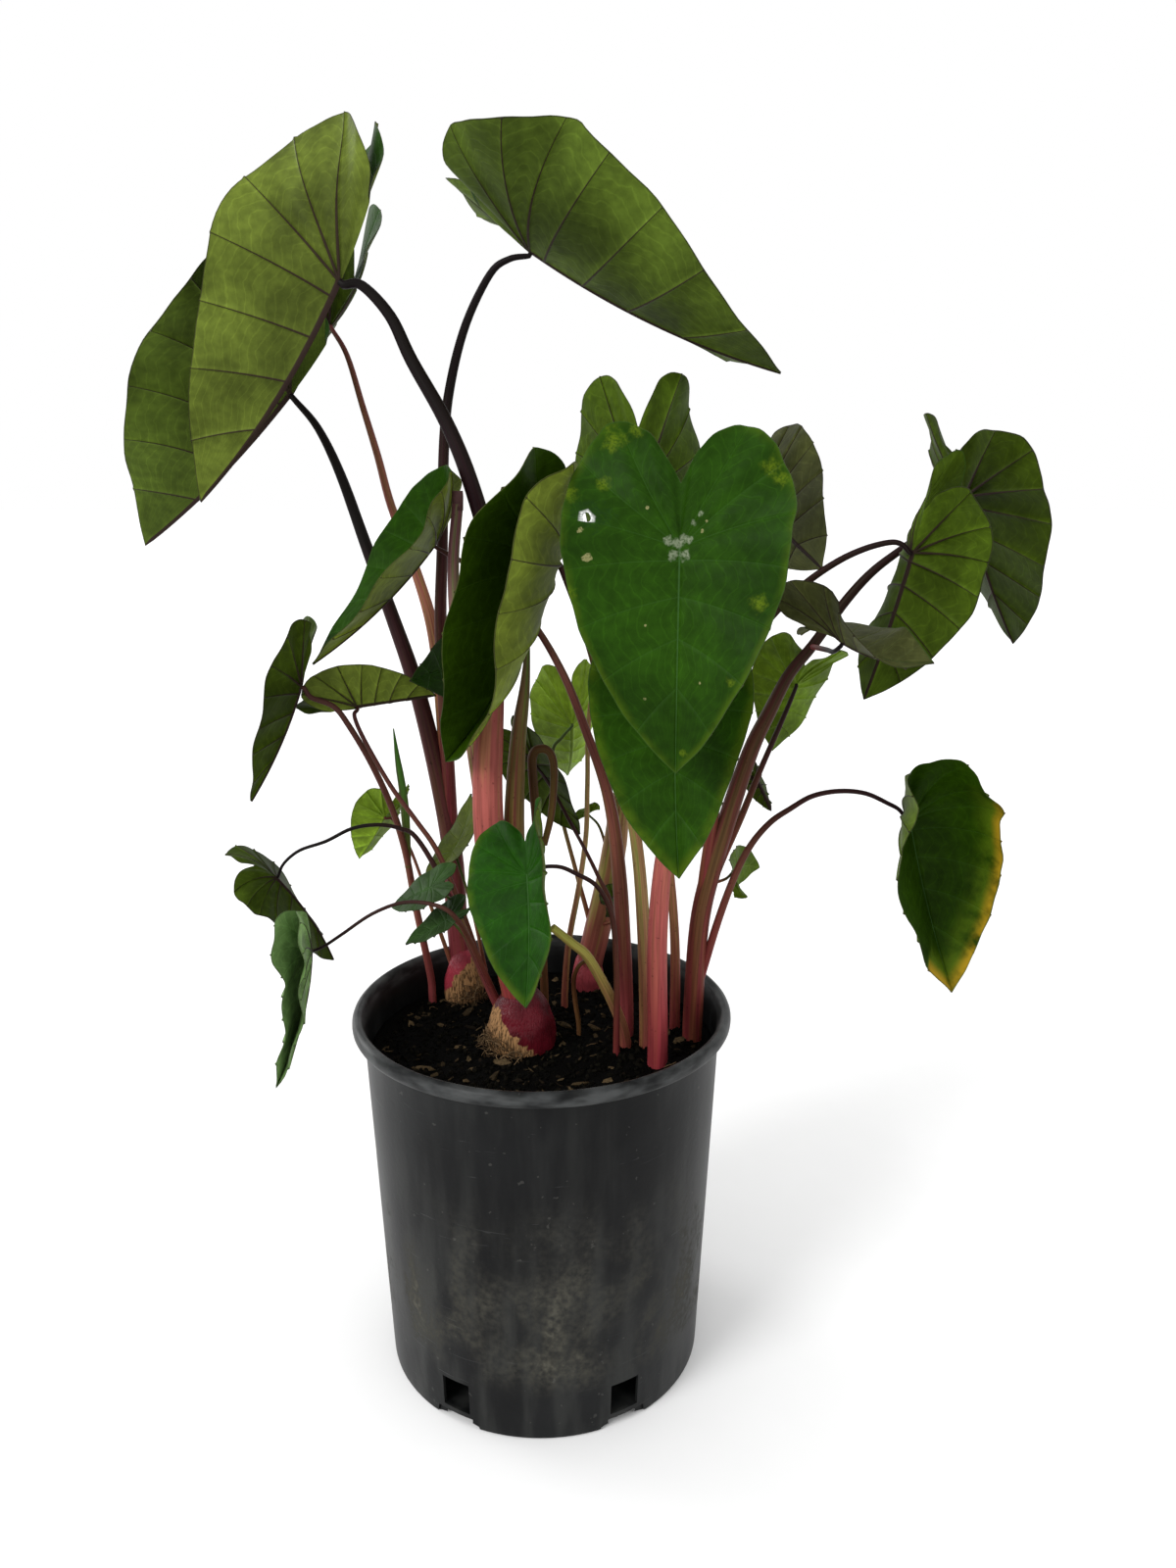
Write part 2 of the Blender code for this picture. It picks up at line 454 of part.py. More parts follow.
def make_pot(parts, operands):
    under = POT_HEIGHT - RIM_DEPTH
    inner = NECK_RADIUS - WALL
    foot_inner = FOOT_RADIUS - WALL
    floor_top = FLOOR_LIFT + FLOOR
    profile = (
        (0, 0),
        (BOSS_RADIUS, 0),
        (BOSS_RADIUS + 2 * MM, FLOOR_LIFT),
        (foot_inner, FLOOR_LIFT),
        (foot_inner, 1 * MM),
        (foot_inner + 0.8 * MM, 0),
        (FOOT_RADIUS - 0.9 * MM, 0),
        (FOOT_RADIUS, 1.5 * MM),
        (wall_radius(under / 2), under / 2),
        (NECK_RADIUS, under),
        (NECK_RADIUS + 2.5 * MM, under + 0.6 * MM),
        (RIM_RADIUS - 1.4 * MM, under + 1.6 * MM),
        (RIM_RADIUS, under + 4 * MM),
        (RIM_RADIUS, under + 7.5 * MM),
        (RIM_RADIUS - 1.5 * MM, under + 10.1 * MM),
        (RIM_RADIUS - 3.5 * MM, POT_HEIGHT),
        (RIM_RADIUS - 5.8 * MM, POT_HEIGHT - 0.7 * MM),
        (RIM_RADIUS - 7 * MM, POT_HEIGHT - 2.8 * MM),
        (inner, under - 2 * MM),
        (wall_radius(floor_top) - WALL, floor_top),
        (BOSS_RADIUS - 0.5 * MM, floor_top),
        (BOSS_RADIUS - 2.5 * MM, FLOOR),
        (0, FLOOR),
    )
    pot = turned("pot", profile, parts)
    paint(pot, POT_BLACK, 0.55)
    for index in range(DRAIN_COUNT):
        angle = math.tau * (index + 0.5) / DRAIN_COUNT
        drain = wedge_cutter(f"drain_{index}", DRAIN_WIDTH, DRAIN_WIDTH, DRAIN_LOW + 2 * MM, DRAIN_HIGH,
                             angle, operands)
        notch = wedge_cutter(f"notch_{index}", NOTCH_WIDTH, NOTCH_WIDTH - 4 * MM, -2 * MM,
                             FLOOR_LIFT - 0.5 * MM, angle, operands)
        combine(pot, drain, "DIFFERENCE")
        combine(pot, notch, "DIFFERENCE")
    return pot


def soil_height(x, y):
    """Level of the soil, lumpy from coarse bark and finer crumbs, and flatter by the wall."""
    coarse = noise.noise(Vector((x * 45, y * 45, 3.1)))
    fine = noise.noise(Vector((x * 130, y * 130, 7.7)))
    edge = min(1.0, max(0.0, (0.112 - math.hypot(x, y)) / 0.012))
    return SOIL_TOP + SOIL_LUMP * edge * (0.7 * coarse + 0.5 * fine)


def make_soil(parts, operands, holes):
    floor_top = FLOOR_LIFT + FLOOR + GAP
    low_radius = wall_radius(floor_top) - WALL - GAP
    top_radius = wall_radius(SOIL_TOP) - WALL - GAP
    bm = bmesh.new()
    rings = []
    for ring in range(1, SOIL_RINGS + 1):
        radius = top_radius * ring / SOIL_RINGS
        rings.append([
            bm.verts.new((
                radius * math.cos(math.tau * step / TURN_STEPS),
                radius * math.sin(math.tau * step / TURN_STEPS),
                soil_height(radius * math.cos(math.tau * step / TURN_STEPS),
                            radius * math.sin(math.tau * step / TURN_STEPS)),
            ))
            for step in range(TURN_STEPS)
        ])
    for radius, height in (
        (low_radius, floor_top),
        (BOSS_RADIUS - 0.5 * MM - GAP, floor_top),
        (BOSS_RADIUS - 2.5 * MM - 2 * GAP, FLOOR + GAP),
    ):
        rings.append([
            bm.verts.new((radius * math.cos(math.tau * step / TURN_STEPS),
                          radius * math.sin(math.tau * step / TURN_STEPS), height))
            for step in range(TURN_STEPS)
        ])
    for inner, outer in zip(rings, rings[1:]):
        for step in range(TURN_STEPS):
            after = (step + 1) % TURN_STEPS
            bm.faces.new((inner[step], outer[step], outer[after], inner[after]))
    top = bm.verts.new((0, 0, soil_height(0, 0)))
    bottom = bm.verts.new((0, 0, FLOOR + GAP))
    for step in range(TURN_STEPS):
        after = (step + 1) % TURN_STEPS
        bm.faces.new((top, rings[0][step], rings[0][after]))
        bm.faces.new((bottom, rings[-1][after], rings[-1][step]))
    bmesh.ops.triangulate(bm, faces=bm.faces[:])
    bmesh.ops.recalc_face_normals(bm, faces=bm.faces[:])
    soil = object_from_bmesh("soil", bm, parts)
    paint(soil, SOIL_DARK, 0.95)
    for index, (x, y, radius) in enumerate(holes):
        bm = bmesh.new()
        bmesh.ops.create_cone(bm, cap_ends=True, segments=12, radius1=1, radius2=1, depth=1)
        hole = object_from_bmesh(f"hole_{index}", bm, operands)
        depth = ROOT_DEPTH + GAP
        hole.scale = (1.04 * radius + 1.5 * GAP, 1.04 * radius + 1.5 * GAP, 3 * depth)
        hole.location = (x, y, SOIL_TOP + 0.5 * depth)
        combine(soil, hole, "DIFFERENCE")
    return soil


def make_blade(blade, parts):
    """An open sheet of spokes and rings on both sides of the midrib, thickened downwards."""
    spokes = FINE_SPOKES if blade.length > LARGE_LEAF else SMALL_SPOKES
    if blade.length > GRAND_LEAF:
        spokes = GRAND_SPOKES
    rings = FINE_RINGS if blade.length > LARGER_LEAF else SMALL_RINGS
    bm = bmesh.new()
    weights = bm.verts.layers.deform.verify()
    for side in (-1, 1):
        rows = []
        for spoke in spokes:
            row = []
            for reach in rings:
                vert = bm.verts.new(blade.point(side, spoke, reach))
                rib = spoke in VEIN_SPOKES or (reach == 0 and spoke < 11)
                fade = 1 - 0.8 * reach
                vert[weights][0] = (BLADE + (RIB - BLADE) * (fade if rib else 0)) / RIB
                row.append(vert)
            rows.append(row)
        for near, far in zip(rows, rows[1:]):
            for step in range(len(rings) - 1):
                corners = (near[step], near[step + 1], far[step + 1], far[step])
                bm.faces.new(corners if side > 0 else corners[::-1])
    bmesh.ops.remove_doubles(bm, verts=bm.verts[:], dist=1e-6)
    bmesh.ops.dissolve_degenerate(bm, edges=bm.edges[:], dist=1e-6)
    bmesh.ops.triangulate(bm, faces=bm.faces[:])
    bmesh.ops.recalc_face_normals(bm, faces=bm.faces[:])
    upper = blade.away_from_stem()
    if sum(face.normal.dot(upper) * face.calc_area() for face in bm.faces) < 0:
        bmesh.ops.reverse_faces(bm, faces=bm.faces[:])
    obj = object_from_bmesh(blade.name, bm, parts)
    obj.vertex_groups.new(name="ribs")
    solid = obj.modifiers.new("Thickness", "SOLIDIFY")
    solid.thickness = RIB
    solid.offset = -1
    solid.vertex_group = "ribs"
    paint(obj, blade.colour, 0.45)
    return obj


def route(points, steps=2):
    """A smooth run of points through the given ones, in metres. A dense route keeps its own points."""
    steps = 1 if len(points) >= DENSE_ROUTE else steps
    spans = (len(points) - 1) * steps
    return [smooth_point(points, index / steps) * MM for index in range(spans + 1)]


def stem_curve(name, points, radii, group, sides=1, steps=2):
    """A round tube through the points, with radii at its start and end, and where given between."""
    run = route(points, steps)
    data = bpy.data.curves.new(name, "CURVE")
    data.dimensions = "3D"
    data.bevel_depth = MM
    data.bevel_resolution = sides
    data.use_fill_caps = True
    spline = data.splines.new("POLY")
    spline.points.add(len(run) - 1)
    for index, (dot, place) in enumerate(zip(spline.points, run)):
        dot.co = (*place, 1)
        dot.radius = between(radii, index / (len(run) - 1) * (len(radii) - 1))
    obj = bpy.data.objects.new(name, data)
    group.objects.link(obj)
    return obj


def stem_mesh(name, points, radii, group, sides=1, steps=2):
    """The same tube as a mesh with its caps welded on."""
    curve = stem_curve(name + "_curve", points, radii, group, sides, steps)
    bpy.context.view_layer.update()
    depsgraph = bpy.context.evaluated_depsgraph_get()
    mesh = bpy.data.meshes.new_from_object(curve.evaluated_get(depsgraph))
    bpy.data.objects.remove(curve, do_unlink=True)
    bm = bmesh.new()
    bm.from_mesh(mesh)
    bmesh.ops.remove_doubles(bm, verts=bm.verts[:], dist=1e-6)
    bmesh.ops.recalc_face_normals(bm, faces=bm.faces[:])
    return object_from_bmesh(name, bm, group)


def corm_profile(radius, top):
    """A rounded corm, widest at the soil and drawn in to its neck."""
    low = SOIL_TOP - ROOT_DEPTH
    return (
        (0, low),
        (0.62 * radius, low),
        (0.90 * radius, low + 0.35 * ROOT_DEPTH),
        (radius, SOIL_TOP + 0.10 * (top - SOIL_TOP)),
        (0.96 * radius, SOIL_TOP + 0.35 * (top - SOIL_TOP)),
        (0.78 * radius, SOIL_TOP + 0.65 * (top - SOIL_TOP)),
        (0.52 * radius, SOIL_TOP + 0.88 * (top - SOIL_TOP)),
        (0.30 * radius, top),
        (0, top),
    )


def make_shoot(name, base, stems, colour, parts, operands, corm=None):
    """A corm or a main stem with the other stems fused into it."""
    if corm:
        radius, top = corm
        main = turned(name, corm_profile(radius * MM, top * MM), parts, 16)
        main.location = (base[0] * MM, base[1] * MM, 0)
        joined = stems
    else:
        points, radii = stems[0]
        main = stem_mesh(name, points, radii, parts, 2)
        joined = stems[1:]
    for index, (points, radii) in enumerate(joined):
        thick = max(radii) > 4
        combine(main, stem_mesh(f"{name}_{index}", points, radii, operands, 2 if thick else 1), "UNION")
    paint(main, colour, 0.4)
    return main


def leaf_named(name):
    return next(blade for blade in LEAVES if blade.name == name)


def stem_top(name, radius, below):
    """Middle of a stem's end, set so that its edge lies a small gap under its leaf's joint."""
    blade = leaf_named(name)
    joint = Vector(blade.joint)
    normal = blade.away_from_stem()
    run = (Vector(below) - joint).normalized()
    slant = math.sqrt(max(0.0, 1 - run.dot(normal) ** 2))
    return tuple(joint - normal * (RIB / MM + JOINT_GAP + radius * slant))


def with_leaf(stems):
    """Add to each route its start under the leaf that it carries."""
    full = []
    for points, leaf, radii in stems:
        start = (stem_top(leaf, radii[0], points[0]),) if leaf else ()
        full.append((start + tuple(points), radii))
    return full


def make_stems(parts, operands):
    make_shoot("shoot_front", FRONT_CORM, with_leaf(SHOOT_FRONT), STEM_PINK, parts, operands,
               FRONT_CORM_SIZE)
    make_shoot("shoot_back_left", BACK_CORM, with_leaf(SHOOT_BACK_LEFT), STEM_PINK, parts, operands,
               BACK_CORM_SIZE)
    make_shoot("shoot_mid_back", MID_CORM, with_leaf(SHOOT_MID_BACK), STEM_PINK, parts, operands,
               MID_CORM_SIZE)
    make_shoot("shoot_right", None, with_leaf(SHOOT_RIGHT), STEM_DARK, parts, operands)
    for name, leaf, radii, points, colour in SINGLE_STEMS:
        stems = with_leaf([(points, leaf, radii)])
        if name == "stem_left_thin":
            stems.append((SPEAR_ROUTE, SPEAR_RADII))
        make_shoot(name, None, stems, colour, parts, operands)
    make_shoot("stem_bent_yellow", None, [(YELLOW_ROUTE, YELLOW_RADII), (LOOP_ROUTE, LOOP_RADII)],
               STEM_YELLOW, parts, operands)
    make_shoot("stem_withered", None, [(WITHERED_ROUTE, WITHERED_RADII)], WITHERED_BROWN, parts, operands)


def soil_holes():
    """Centre and radius of each hole in the soil, for the corms and for the stems that stand alone."""
    holes = [(FRONT_CORM, FRONT_CORM_SIZE[0]), (BACK_CORM, BACK_CORM_SIZE[0]), (MID_CORM, MID_CORM_SIZE[0])]
    feet = [(SHOOT_RIGHT[0][0], SHOOT_RIGHT[0][2]), (WITHERED_ROUTE, WITHERED_RADII),
            (YELLOW_ROUTE, YELLOW_RADII), (LOOP_ROUTE, LOOP_RADII)]
    feet += [(points, radii) for _, _, radii, points, _ in SINGLE_STEMS]
    holes += [(points[-1], radii[-1] + HOLE_SLACK) for points, radii in feet]
    return [(place[0] * MM, place[1] * MM, radius * MM) for place, radius in holes]


def main():
    clear_scene()
    parts = collection("Potted elephant ear")
    operands = collection("Operands")
    make_pot(parts, operands)
    for blade in LEAVES:
        make_blade(blade, parts)
    make_stems(parts, operands)
    make_soil(parts, operands, soil_holes())
    bpy.context.view_layer.update()


main()
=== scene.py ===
"""Potted elephant ear: leaves, stems, corms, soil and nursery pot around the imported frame."""
import json
import math
from dataclasses import dataclass

import bmesh
import bpy
from bpy.props import FloatProperty, FloatVectorProperty, IntProperty, PointerProperty
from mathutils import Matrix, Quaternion, Vector, noise


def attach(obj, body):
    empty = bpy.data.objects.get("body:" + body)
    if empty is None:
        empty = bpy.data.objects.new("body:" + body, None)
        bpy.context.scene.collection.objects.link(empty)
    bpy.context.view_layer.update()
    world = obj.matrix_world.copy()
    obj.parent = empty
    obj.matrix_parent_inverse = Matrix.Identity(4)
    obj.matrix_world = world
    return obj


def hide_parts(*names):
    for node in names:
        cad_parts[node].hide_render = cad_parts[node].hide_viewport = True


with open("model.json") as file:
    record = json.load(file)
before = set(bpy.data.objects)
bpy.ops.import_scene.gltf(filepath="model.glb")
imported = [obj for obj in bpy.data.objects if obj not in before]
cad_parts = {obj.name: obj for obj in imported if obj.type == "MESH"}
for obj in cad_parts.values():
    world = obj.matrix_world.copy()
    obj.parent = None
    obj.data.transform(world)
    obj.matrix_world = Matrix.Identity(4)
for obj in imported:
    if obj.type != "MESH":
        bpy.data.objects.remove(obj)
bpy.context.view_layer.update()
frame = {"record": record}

bl_info = {
    "name": "Potted elephant ear",
    "version": (1, 0, 0),
    "blender": (4, 5, 0),
    "location": "View3D > Sidebar > Elephant Ear",
    "description": "Builds the leaves, stems, corms, soil and pot of a potted elephant ear",
    "category": "Object",
}

MM = 0.001

# Pot and soil, the same sizes as the solids
POT_HEIGHT = 250 * MM
RIM_RADIUS = 125 * MM
RIM_DEPTH = 11 * MM
NECK_RADIUS = 117.5 * MM
FOOT_RADIUS = 106.8 * MM
WALL = 2.4 * MM
FLOOR_LIFT = 7 * MM
FLOOR = 2.5 * MM
BOSS_RADIUS = 73 * MM
DRAIN_COUNT = 6
DRAIN_WIDTH = 20 * MM
DRAIN_LOW = 10 * MM
DRAIN_HIGH = 32 * MM
NOTCH_WIDTH = 34 * MM
SOIL_TOP = 222 * MM
SOIL_LUMP = 2.6 * MM
SOIL_RADIUS = 113.5 * MM
ROOT_DEPTH = 10 * MM
POT_GLOSS = 0.11

# Leaf blades
RIB = 1.5
JOINT_GAP = 0.35
VEIN_SPOKES = (3.0, 4.5, 5.7, 6.8, 7.8, 8.7, 9.7)
# Half a heart with its stem joint at 0, 0 and its tip at 0, 1, from the notch round to the tip
MARGIN = ((0, -0.30), (0.065, -0.43), (0.165, -0.54), (0.295, -0.575), (0.415, -0.49), (0.49, -0.30),
          (0.515, -0.08), (0.485, 0.16), (0.405, 0.41), (0.28, 0.66), (0.125, 0.87), (0, 1))
# Where each spoke leaves the midrib, and how far it bows towards the notch
SPOKE_ROOT = (0, 0, 0, 0, 0, 0, 0, 0.07, 0.25, 0.46, 0.68, 1)
SPOKE_BOW = (0, 0, 0, 0, 0.02, 0.05, 0.08, 0.10, 0.12, 0.12, 0.10, 0)
HALF_WIDTH = 0.5
LOBE_LENGTH = 0.57

@dataclass
class Blade:
    """One leaf blade. Lengths are in millimetres and angles in degrees.

    heading and dip point from the stem joint to the tip, roll turns the blade about that line.
    fold and curl lift each half, seen from above with the tip ahead, and bend drops the tip.
    """
    name: str
    joint: tuple
    heading: float
    dip: float
    roll: float
    length: float
    width: float = 1.0
    lobe: float = 1.0
    fold: tuple = (15, 15)
    curl: tuple = (0, 0)
    lobe_fold: tuple = (0, 0)
    bend: tuple = (15, 10)
    twist: float = 0
    wave: float = 0.018
    waves: float = 4.5
    phase: float = 0
    turned_over: bool = False

    def axes(self):
        heading, dip, roll = (math.radians(angle) for angle in (self.heading, self.dip, self.roll))
        ahead = Vector((math.cos(heading) * math.cos(dip), math.sin(heading) * math.cos(dip), -math.sin(dip)))
        upper = Vector((math.cos(heading) * math.sin(dip), math.sin(heading) * math.sin(dip), math.cos(dip)))
        across = ahead.cross(upper)
        return (across * math.cos(roll) - upper * math.sin(roll), ahead,
                upper * math.cos(roll) + across * math.sin(roll))

    def away_from_stem(self):
        """Direction from the stem's end to the blade, which a flopped leaf has on its other side."""
        across, _, upper = self.axes()
        lean = math.radians((self.fold[1] - self.fold[0]) / 2)
        middle = upper * math.cos(lean) - across * math.sin(lean)
        return -middle if self.turned_over else middle

    def flat(self, spoke, reach):
        """Point of the flat right half: spoke 0 is the notch and 11 the tip, reach 1 is the margin."""
        edge = smooth_point(MARGIN, spoke)
        edge_x = edge[0] * self.width
        edge_y = edge[1] * (self.lobe if edge[1] < 0 else 1)
        root_y = between(SPOKE_ROOT, spoke)
        bow = between(SPOKE_BOW, spoke) * reach * (1 - reach)
        run_y = edge_y - root_y
        return edge_x * reach + bow * run_y, root_y + run_y * reach - bow * edge_x

    def ripple(self, spoke, reach, side):
        """Lift of the surface: a waved margin and the quilted swell between two veins."""
        turns = math.tau * self.waves * spoke / 11 + self.phase + (1.3 if side > 0 else 0)
        nearest = min(abs(spoke - vein) for vein in VEIN_SPOKES)
        swell = 0.008 * min(1, 2 * nearest) * math.sin(math.pi * min(reach, 0.95))
        fade = min(1, spoke) * min(1, (11 - spoke) / 1.5)
        return fade * (self.wave * reach * reach * math.sin(turns) + swell)

    def point(self, side, spoke, reach):
        """Place of a point of the upper face in the object's frame."""
        half = 1 if side > 0 else 0
        x, y = self.flat(spoke, reach)
        rise = self.ripple(spoke, reach, side)
        back = min(1, max(0, -y / 0.5))
        back = back * back * (3 - 2 * back)
        slope = math.radians(self.fold[half] + self.lobe_fold[half] * back)
        turn = math.radians(self.curl[half]) / HALF_WIDTH
        out, up = arc(x, slope, turn)
        end_slope = slope + turn * x
        out -= rise * math.sin(end_slope)
        up += rise * math.cos(end_slope)
        swing = math.radians(self.twist) * y
        right = side * out * math.cos(swing) + up * math.sin(swing)
        up = up * math.cos(swing) - side * out * math.sin(swing)
        drop = math.radians(self.bend[0] if y >= 0 else self.bend[1])
        if y < 0:
            drop /= LOBE_LENGTH
        run, fall = arc(abs(y), 0, drop)
        bent = drop * abs(y)
        forward = (run + up * math.sin(bent)) * (1 if y >= 0 else -1)
        across, ahead, upper = self.axes()
        local = across * right + ahead * forward + upper * (up * math.cos(bent) - fall)
        return Vector(self.joint) * MM + local * (self.length * MM)


def between(values, place):
    index = min(int(place), len(values) - 2)
    return values[index] + (values[index + 1] - values[index]) * (place - index)


def smooth_point(points, place):
    """Point on a smooth curve through the given points, at a fractional index."""
    index = min(int(place), len(points) - 2)
    share = place - index
    first, second = Vector(points[index]), Vector(points[index + 1])
    before = Vector(points[index - 1]) if index else 2 * first - second
    after = Vector(points[index + 2]) if index + 2 < len(points) else 2 * second - first
    return 0.5 * (2 * first + (second - before) * share
                  + (2 * before - 5 * first + 4 * second - after) * share ** 2
                  + (3 * first - before - 3 * second + after) * share ** 3)


def arc(length, slope, turn):
    """Run and rise along an arc that starts at a slope and turns steadily."""
    if abs(turn) < 1e-6:
        return length * math.cos(slope), length * math.sin(slope)
    end = slope + turn * length
    return (math.sin(end) - math.sin(slope)) / turn, (math.cos(slope) - math.cos(end)) / turn


# Every leaf, its joint, pose, size and form
LEAVES = (
    Blade("leaf_upper_left", (-116, 20, 700), heading=155, dip=56, roll=-7, length=173, width=0.93,
          lobe=0.91, fold=(77, 50), curl=(9, 5), lobe_fold=(27, -6), bend=(-18, -18), twist=-18, phase=0.0),
    Blade("leaf_far_left", (-173.2, 120, 643.6), heading=176, dip=48, roll=54, length=171, width=1.18,
          lobe=0.82, fold=(15, 80), curl=(-37, -9), lobe_fold=(-5, 30), bend=(-32, -40), twist=13, phase=1.7),
    Blade("leaf_behind_upper", (-158.4, 192, 697.8), heading=132, dip=31, roll=4, length=132, lobe=1.07,
          fold=(44, 45), curl=(7, 12), lobe_fold=(2, 19), bend=(-4, -6), twist=2, phase=3.4),
    Blade("leaf_upper_right", (-4, 50, 722), heading=2, dip=33, roll=6, length=171, width=1.16,
          lobe=0.75, fold=(7, 14), curl=(2, 48), lobe_fold=(-18, -17), bend=(-18, -33), twist=-7,
          phase=5.1),
    Blade("leaf_left_folded", (-67, 30, 547), heading=193, dip=52, roll=-13, length=107, lobe=0.82,
          fold=(27, 6), curl=(8, 25), lobe_fold=(6, -9), bend=(-20, -32), twist=6, phase=0.6),
    Blade("leaf_centre_folded", (11, -24, 540), heading=141, dip=69, roll=-52, length=148, width=1.09,
          lobe=0.79, fold=(-2, 113), curl=(60, 27), lobe_fold=(8, 11), bend=(-26, 3), phase=2.3),
    Blade("leaf_front_heart", (78, -104, 552), heading=264, dip=78, roll=2, length=118, width=1.04,
          lobe=0.93, fold=(25, 9), curl=(-5, 9), lobe_fold=(-2, -33), bend=(10, -23), twist=6, phase=4.0),
    Blade("leaf_lower_heart", (81, -55, 462), heading=265, dip=65, roll=17, length=102, width=0.98,
          fold=(20, 24), curl=(-12, 8), lobe_fold=(17, 8), bend=(16, 10), twist=4, phase=5.7),
    Blade("leaf_back_top", (64, 70, 578), heading=83, dip=71, roll=-4, length=115, width=1.02, lobe=1.22,
          fold=(36, 19), curl=(16, 53), lobe_fold=(-2, 6), bend=(-19, -23), twist=-5, phase=1.2),
    Blade("leaf_back_right", (136, 30, 569), heading=57, dip=19, roll=-42, length=100, width=1.08,
          fold=(15, 21), curl=(6, -1), lobe_fold=(0, -4), bend=(15, 27), twist=-3, phase=2.9),
    Blade("leaf_curled", (176, -55, 497), heading=-47, dip=23, roll=-17, length=57, width=1.2, lobe=1.25,
          fold=(27, 24), curl=(-2, 18), lobe_fold=(20, -9), bend=(-35, 30), twist=58, phase=4.6),
    Blade("leaf_right", (222, -20, 545), heading=129, dip=75, roll=70, length=92, width=1.11, lobe=0.96,
          fold=(46, -18), curl=(60, -6), lobe_fold=(18, 6), bend=(18, 22), twist=-20, phase=0.1),
    Blade("leaf_far_right", (266, 30, 577), heading=39, dip=61, roll=21, length=116, width=1.06, lobe=0.7,
          fold=(3, 7), curl=(29, 9), lobe_fold=(4, 6), bend=(-10, 1), phase=1.8),
    Blade("leaf_yellow_edge", (231, -20, 381), heading=22, dip=75, roll=100, length=117, width=1.04,
          lobe=0.86, fold=(18, 51), curl=(60, 10), lobe_fold=(13, 10), bend=(-21, -40), twist=6,
          phase=3.5),
    Blade("leaf_pale_right", (169, 50, 456), heading=105, dip=54, roll=9, length=62, lobe=1.02,
          fold=(27, 14), curl=(9, 35), lobe_fold=(8, -16), bend=(8, 27), twist=3, phase=5.2),
    Blade("leaf_small_round", (131, 28, 332), heading=72, dip=-4, roll=-54, length=32, width=1.07,
          fold=(-28, 32), curl=(0, 13), lobe_fold=(-40, 9), bend=(49, 18), twist=3, turned_over=True, phase=0.7),
    Blade("leaf_small_tip", (144, 42, 392), heading=17, dip=63, roll=-70, length=24, fold=(28, 68),
          curl=(11, 16), bend=(26, 10), twist=-1, phase=2.4),
    Blade("leaf_pale_centre", (19, 90, 421), heading=90, dip=61, roll=-12, length=73, width=0.97,
          lobe=1.15, fold=(33, 30), curl=(21, 35), lobe_fold=(11, -2), bend=(-35, -40), twist=1,
          phase=4.1),
    Blade("leaf_dark_low", (-7, 75, 398), heading=-6, dip=59, roll=-31, length=62, width=1.02,
          fold=(-30, 2), curl=(-6, 2), lobe_fold=(1, 0), bend=(-1, 10), twist=-2, phase=5.8),
    Blade("leaf_front_low", (-6, -60, 359), heading=279, dip=57, roll=37, length=81, width=1.02,
          lobe=0.85, fold=(16, 2), curl=(60, 1), lobe_fold=(1, -6), bend=(-17, 9), twist=-5, phase=1.3),
    Blade("leaf_pale_left", (-112, 65, 360), heading=151, dip=60, roll=21, length=44, lobe=0.95,
          fold=(18, 17), curl=(15, 17), lobe_fold=(-4, 5), bend=(-15, 11), twist=5, phase=3.0),
    Blade("leaf_narrow_left", (-146, -12, 464), heading=202, dip=71, roll=21, length=78, lobe=0.92,
          fold=(15, 20), curl=(6, 33), lobe_fold=(0, -1), bend=(-15, 4), twist=1, phase=4.7),
    Blade("leaf_side_left", (-116, 8, 448), heading=27, dip=-4, roll=-46, length=53, width=1.02,
          lobe=1.07, fold=(34, 37), curl=(13, 11), lobe_fold=(24, 5), bend=(0, 10), twist=-1, phase=0.2),
    Blade("leaf_low_left", (-167, -20, 343), heading=34, dip=52, roll=12, length=74, width=1.03,
          lobe=0.74, fold=(-7, -29), curl=(12, 12), lobe_fold=(-8, -8), bend=(19, 60), twist=4,
          turned_over=True, phase=2.1),
    Blade("leaf_hanging_left", (-140, -50, 305), heading=136, dip=82, roll=-100, length=90, width=0.97,
          lobe=0.95, fold=(53, 105), curl=(-5, 23), lobe_fold=(-9, -5), bend=(-35, -33), twist=-6,
          phase=3.6),
    Blade("leaf_young_left", (-68, -25, 339), heading=162, dip=29, roll=-43, length=34, lobe=0.94,
          fold=(12, -8), curl=(8, -3), lobe_fold=(0, -1), bend=(6, 6), twist=-1, phase=5.3),
    Blade("leaf_young_low", (-58, -32, 320), heading=187, dip=35, roll=-25, length=30, fold=(20, 0),
          curl=(8, -1), lobe_fold=(2, 2), bend=(-15, 1), phase=0.8),
    Blade("leaf_young_upright", (-62, 42, 342), heading=45, dip=-44, roll=-22, length=42, fold=(9, 0),
          curl=(3, 0), lobe_fold=(-1, 19), bend=(-35, 10), twist=2, phase=2.5),
    Blade("leaf_small_back", (30, 95, 354), heading=59, dip=-15, roll=-13, length=16, fold=(15, 48),
          curl=(6, 17), lobe_fold=(0, 1), bend=(31, 15), phase=4.2),
    Blade("leaf_small_dark", (46, 60, 300), heading=66, dip=-14, roll=-64, length=20, width=1.05,
          fold=(-22, 46), curl=(-6, 16), bend=(16, 10), phase=5.9),
    Blade("leaf_behind_left", (-54, 50, 469), heading=238, dip=5, roll=-62, length=52, fold=(6, 32),
          curl=(0, 7), bend=(-2, 10), twist=-2, phase=1.4),
)

STUMP_ROUTE = ((-48, 2, 581), (-52, 4, 534), (-51, 8, 487), (-44, 10, 424), (-36, 4, 368), (-33, 0, 350))
STUMP_SHORT = ((-48, 2, 573),) + STUMP_ROUTE[1:]
STUMP_HOLLOW = ((3.2 * MM, 0.569), (3.5 * MM, 0.577), (3.3 * MM, 0.5805), (2.7 * MM, 0.5805), (2.4 * MM, 0.577),
                (2.2 * MM, 0.5735))
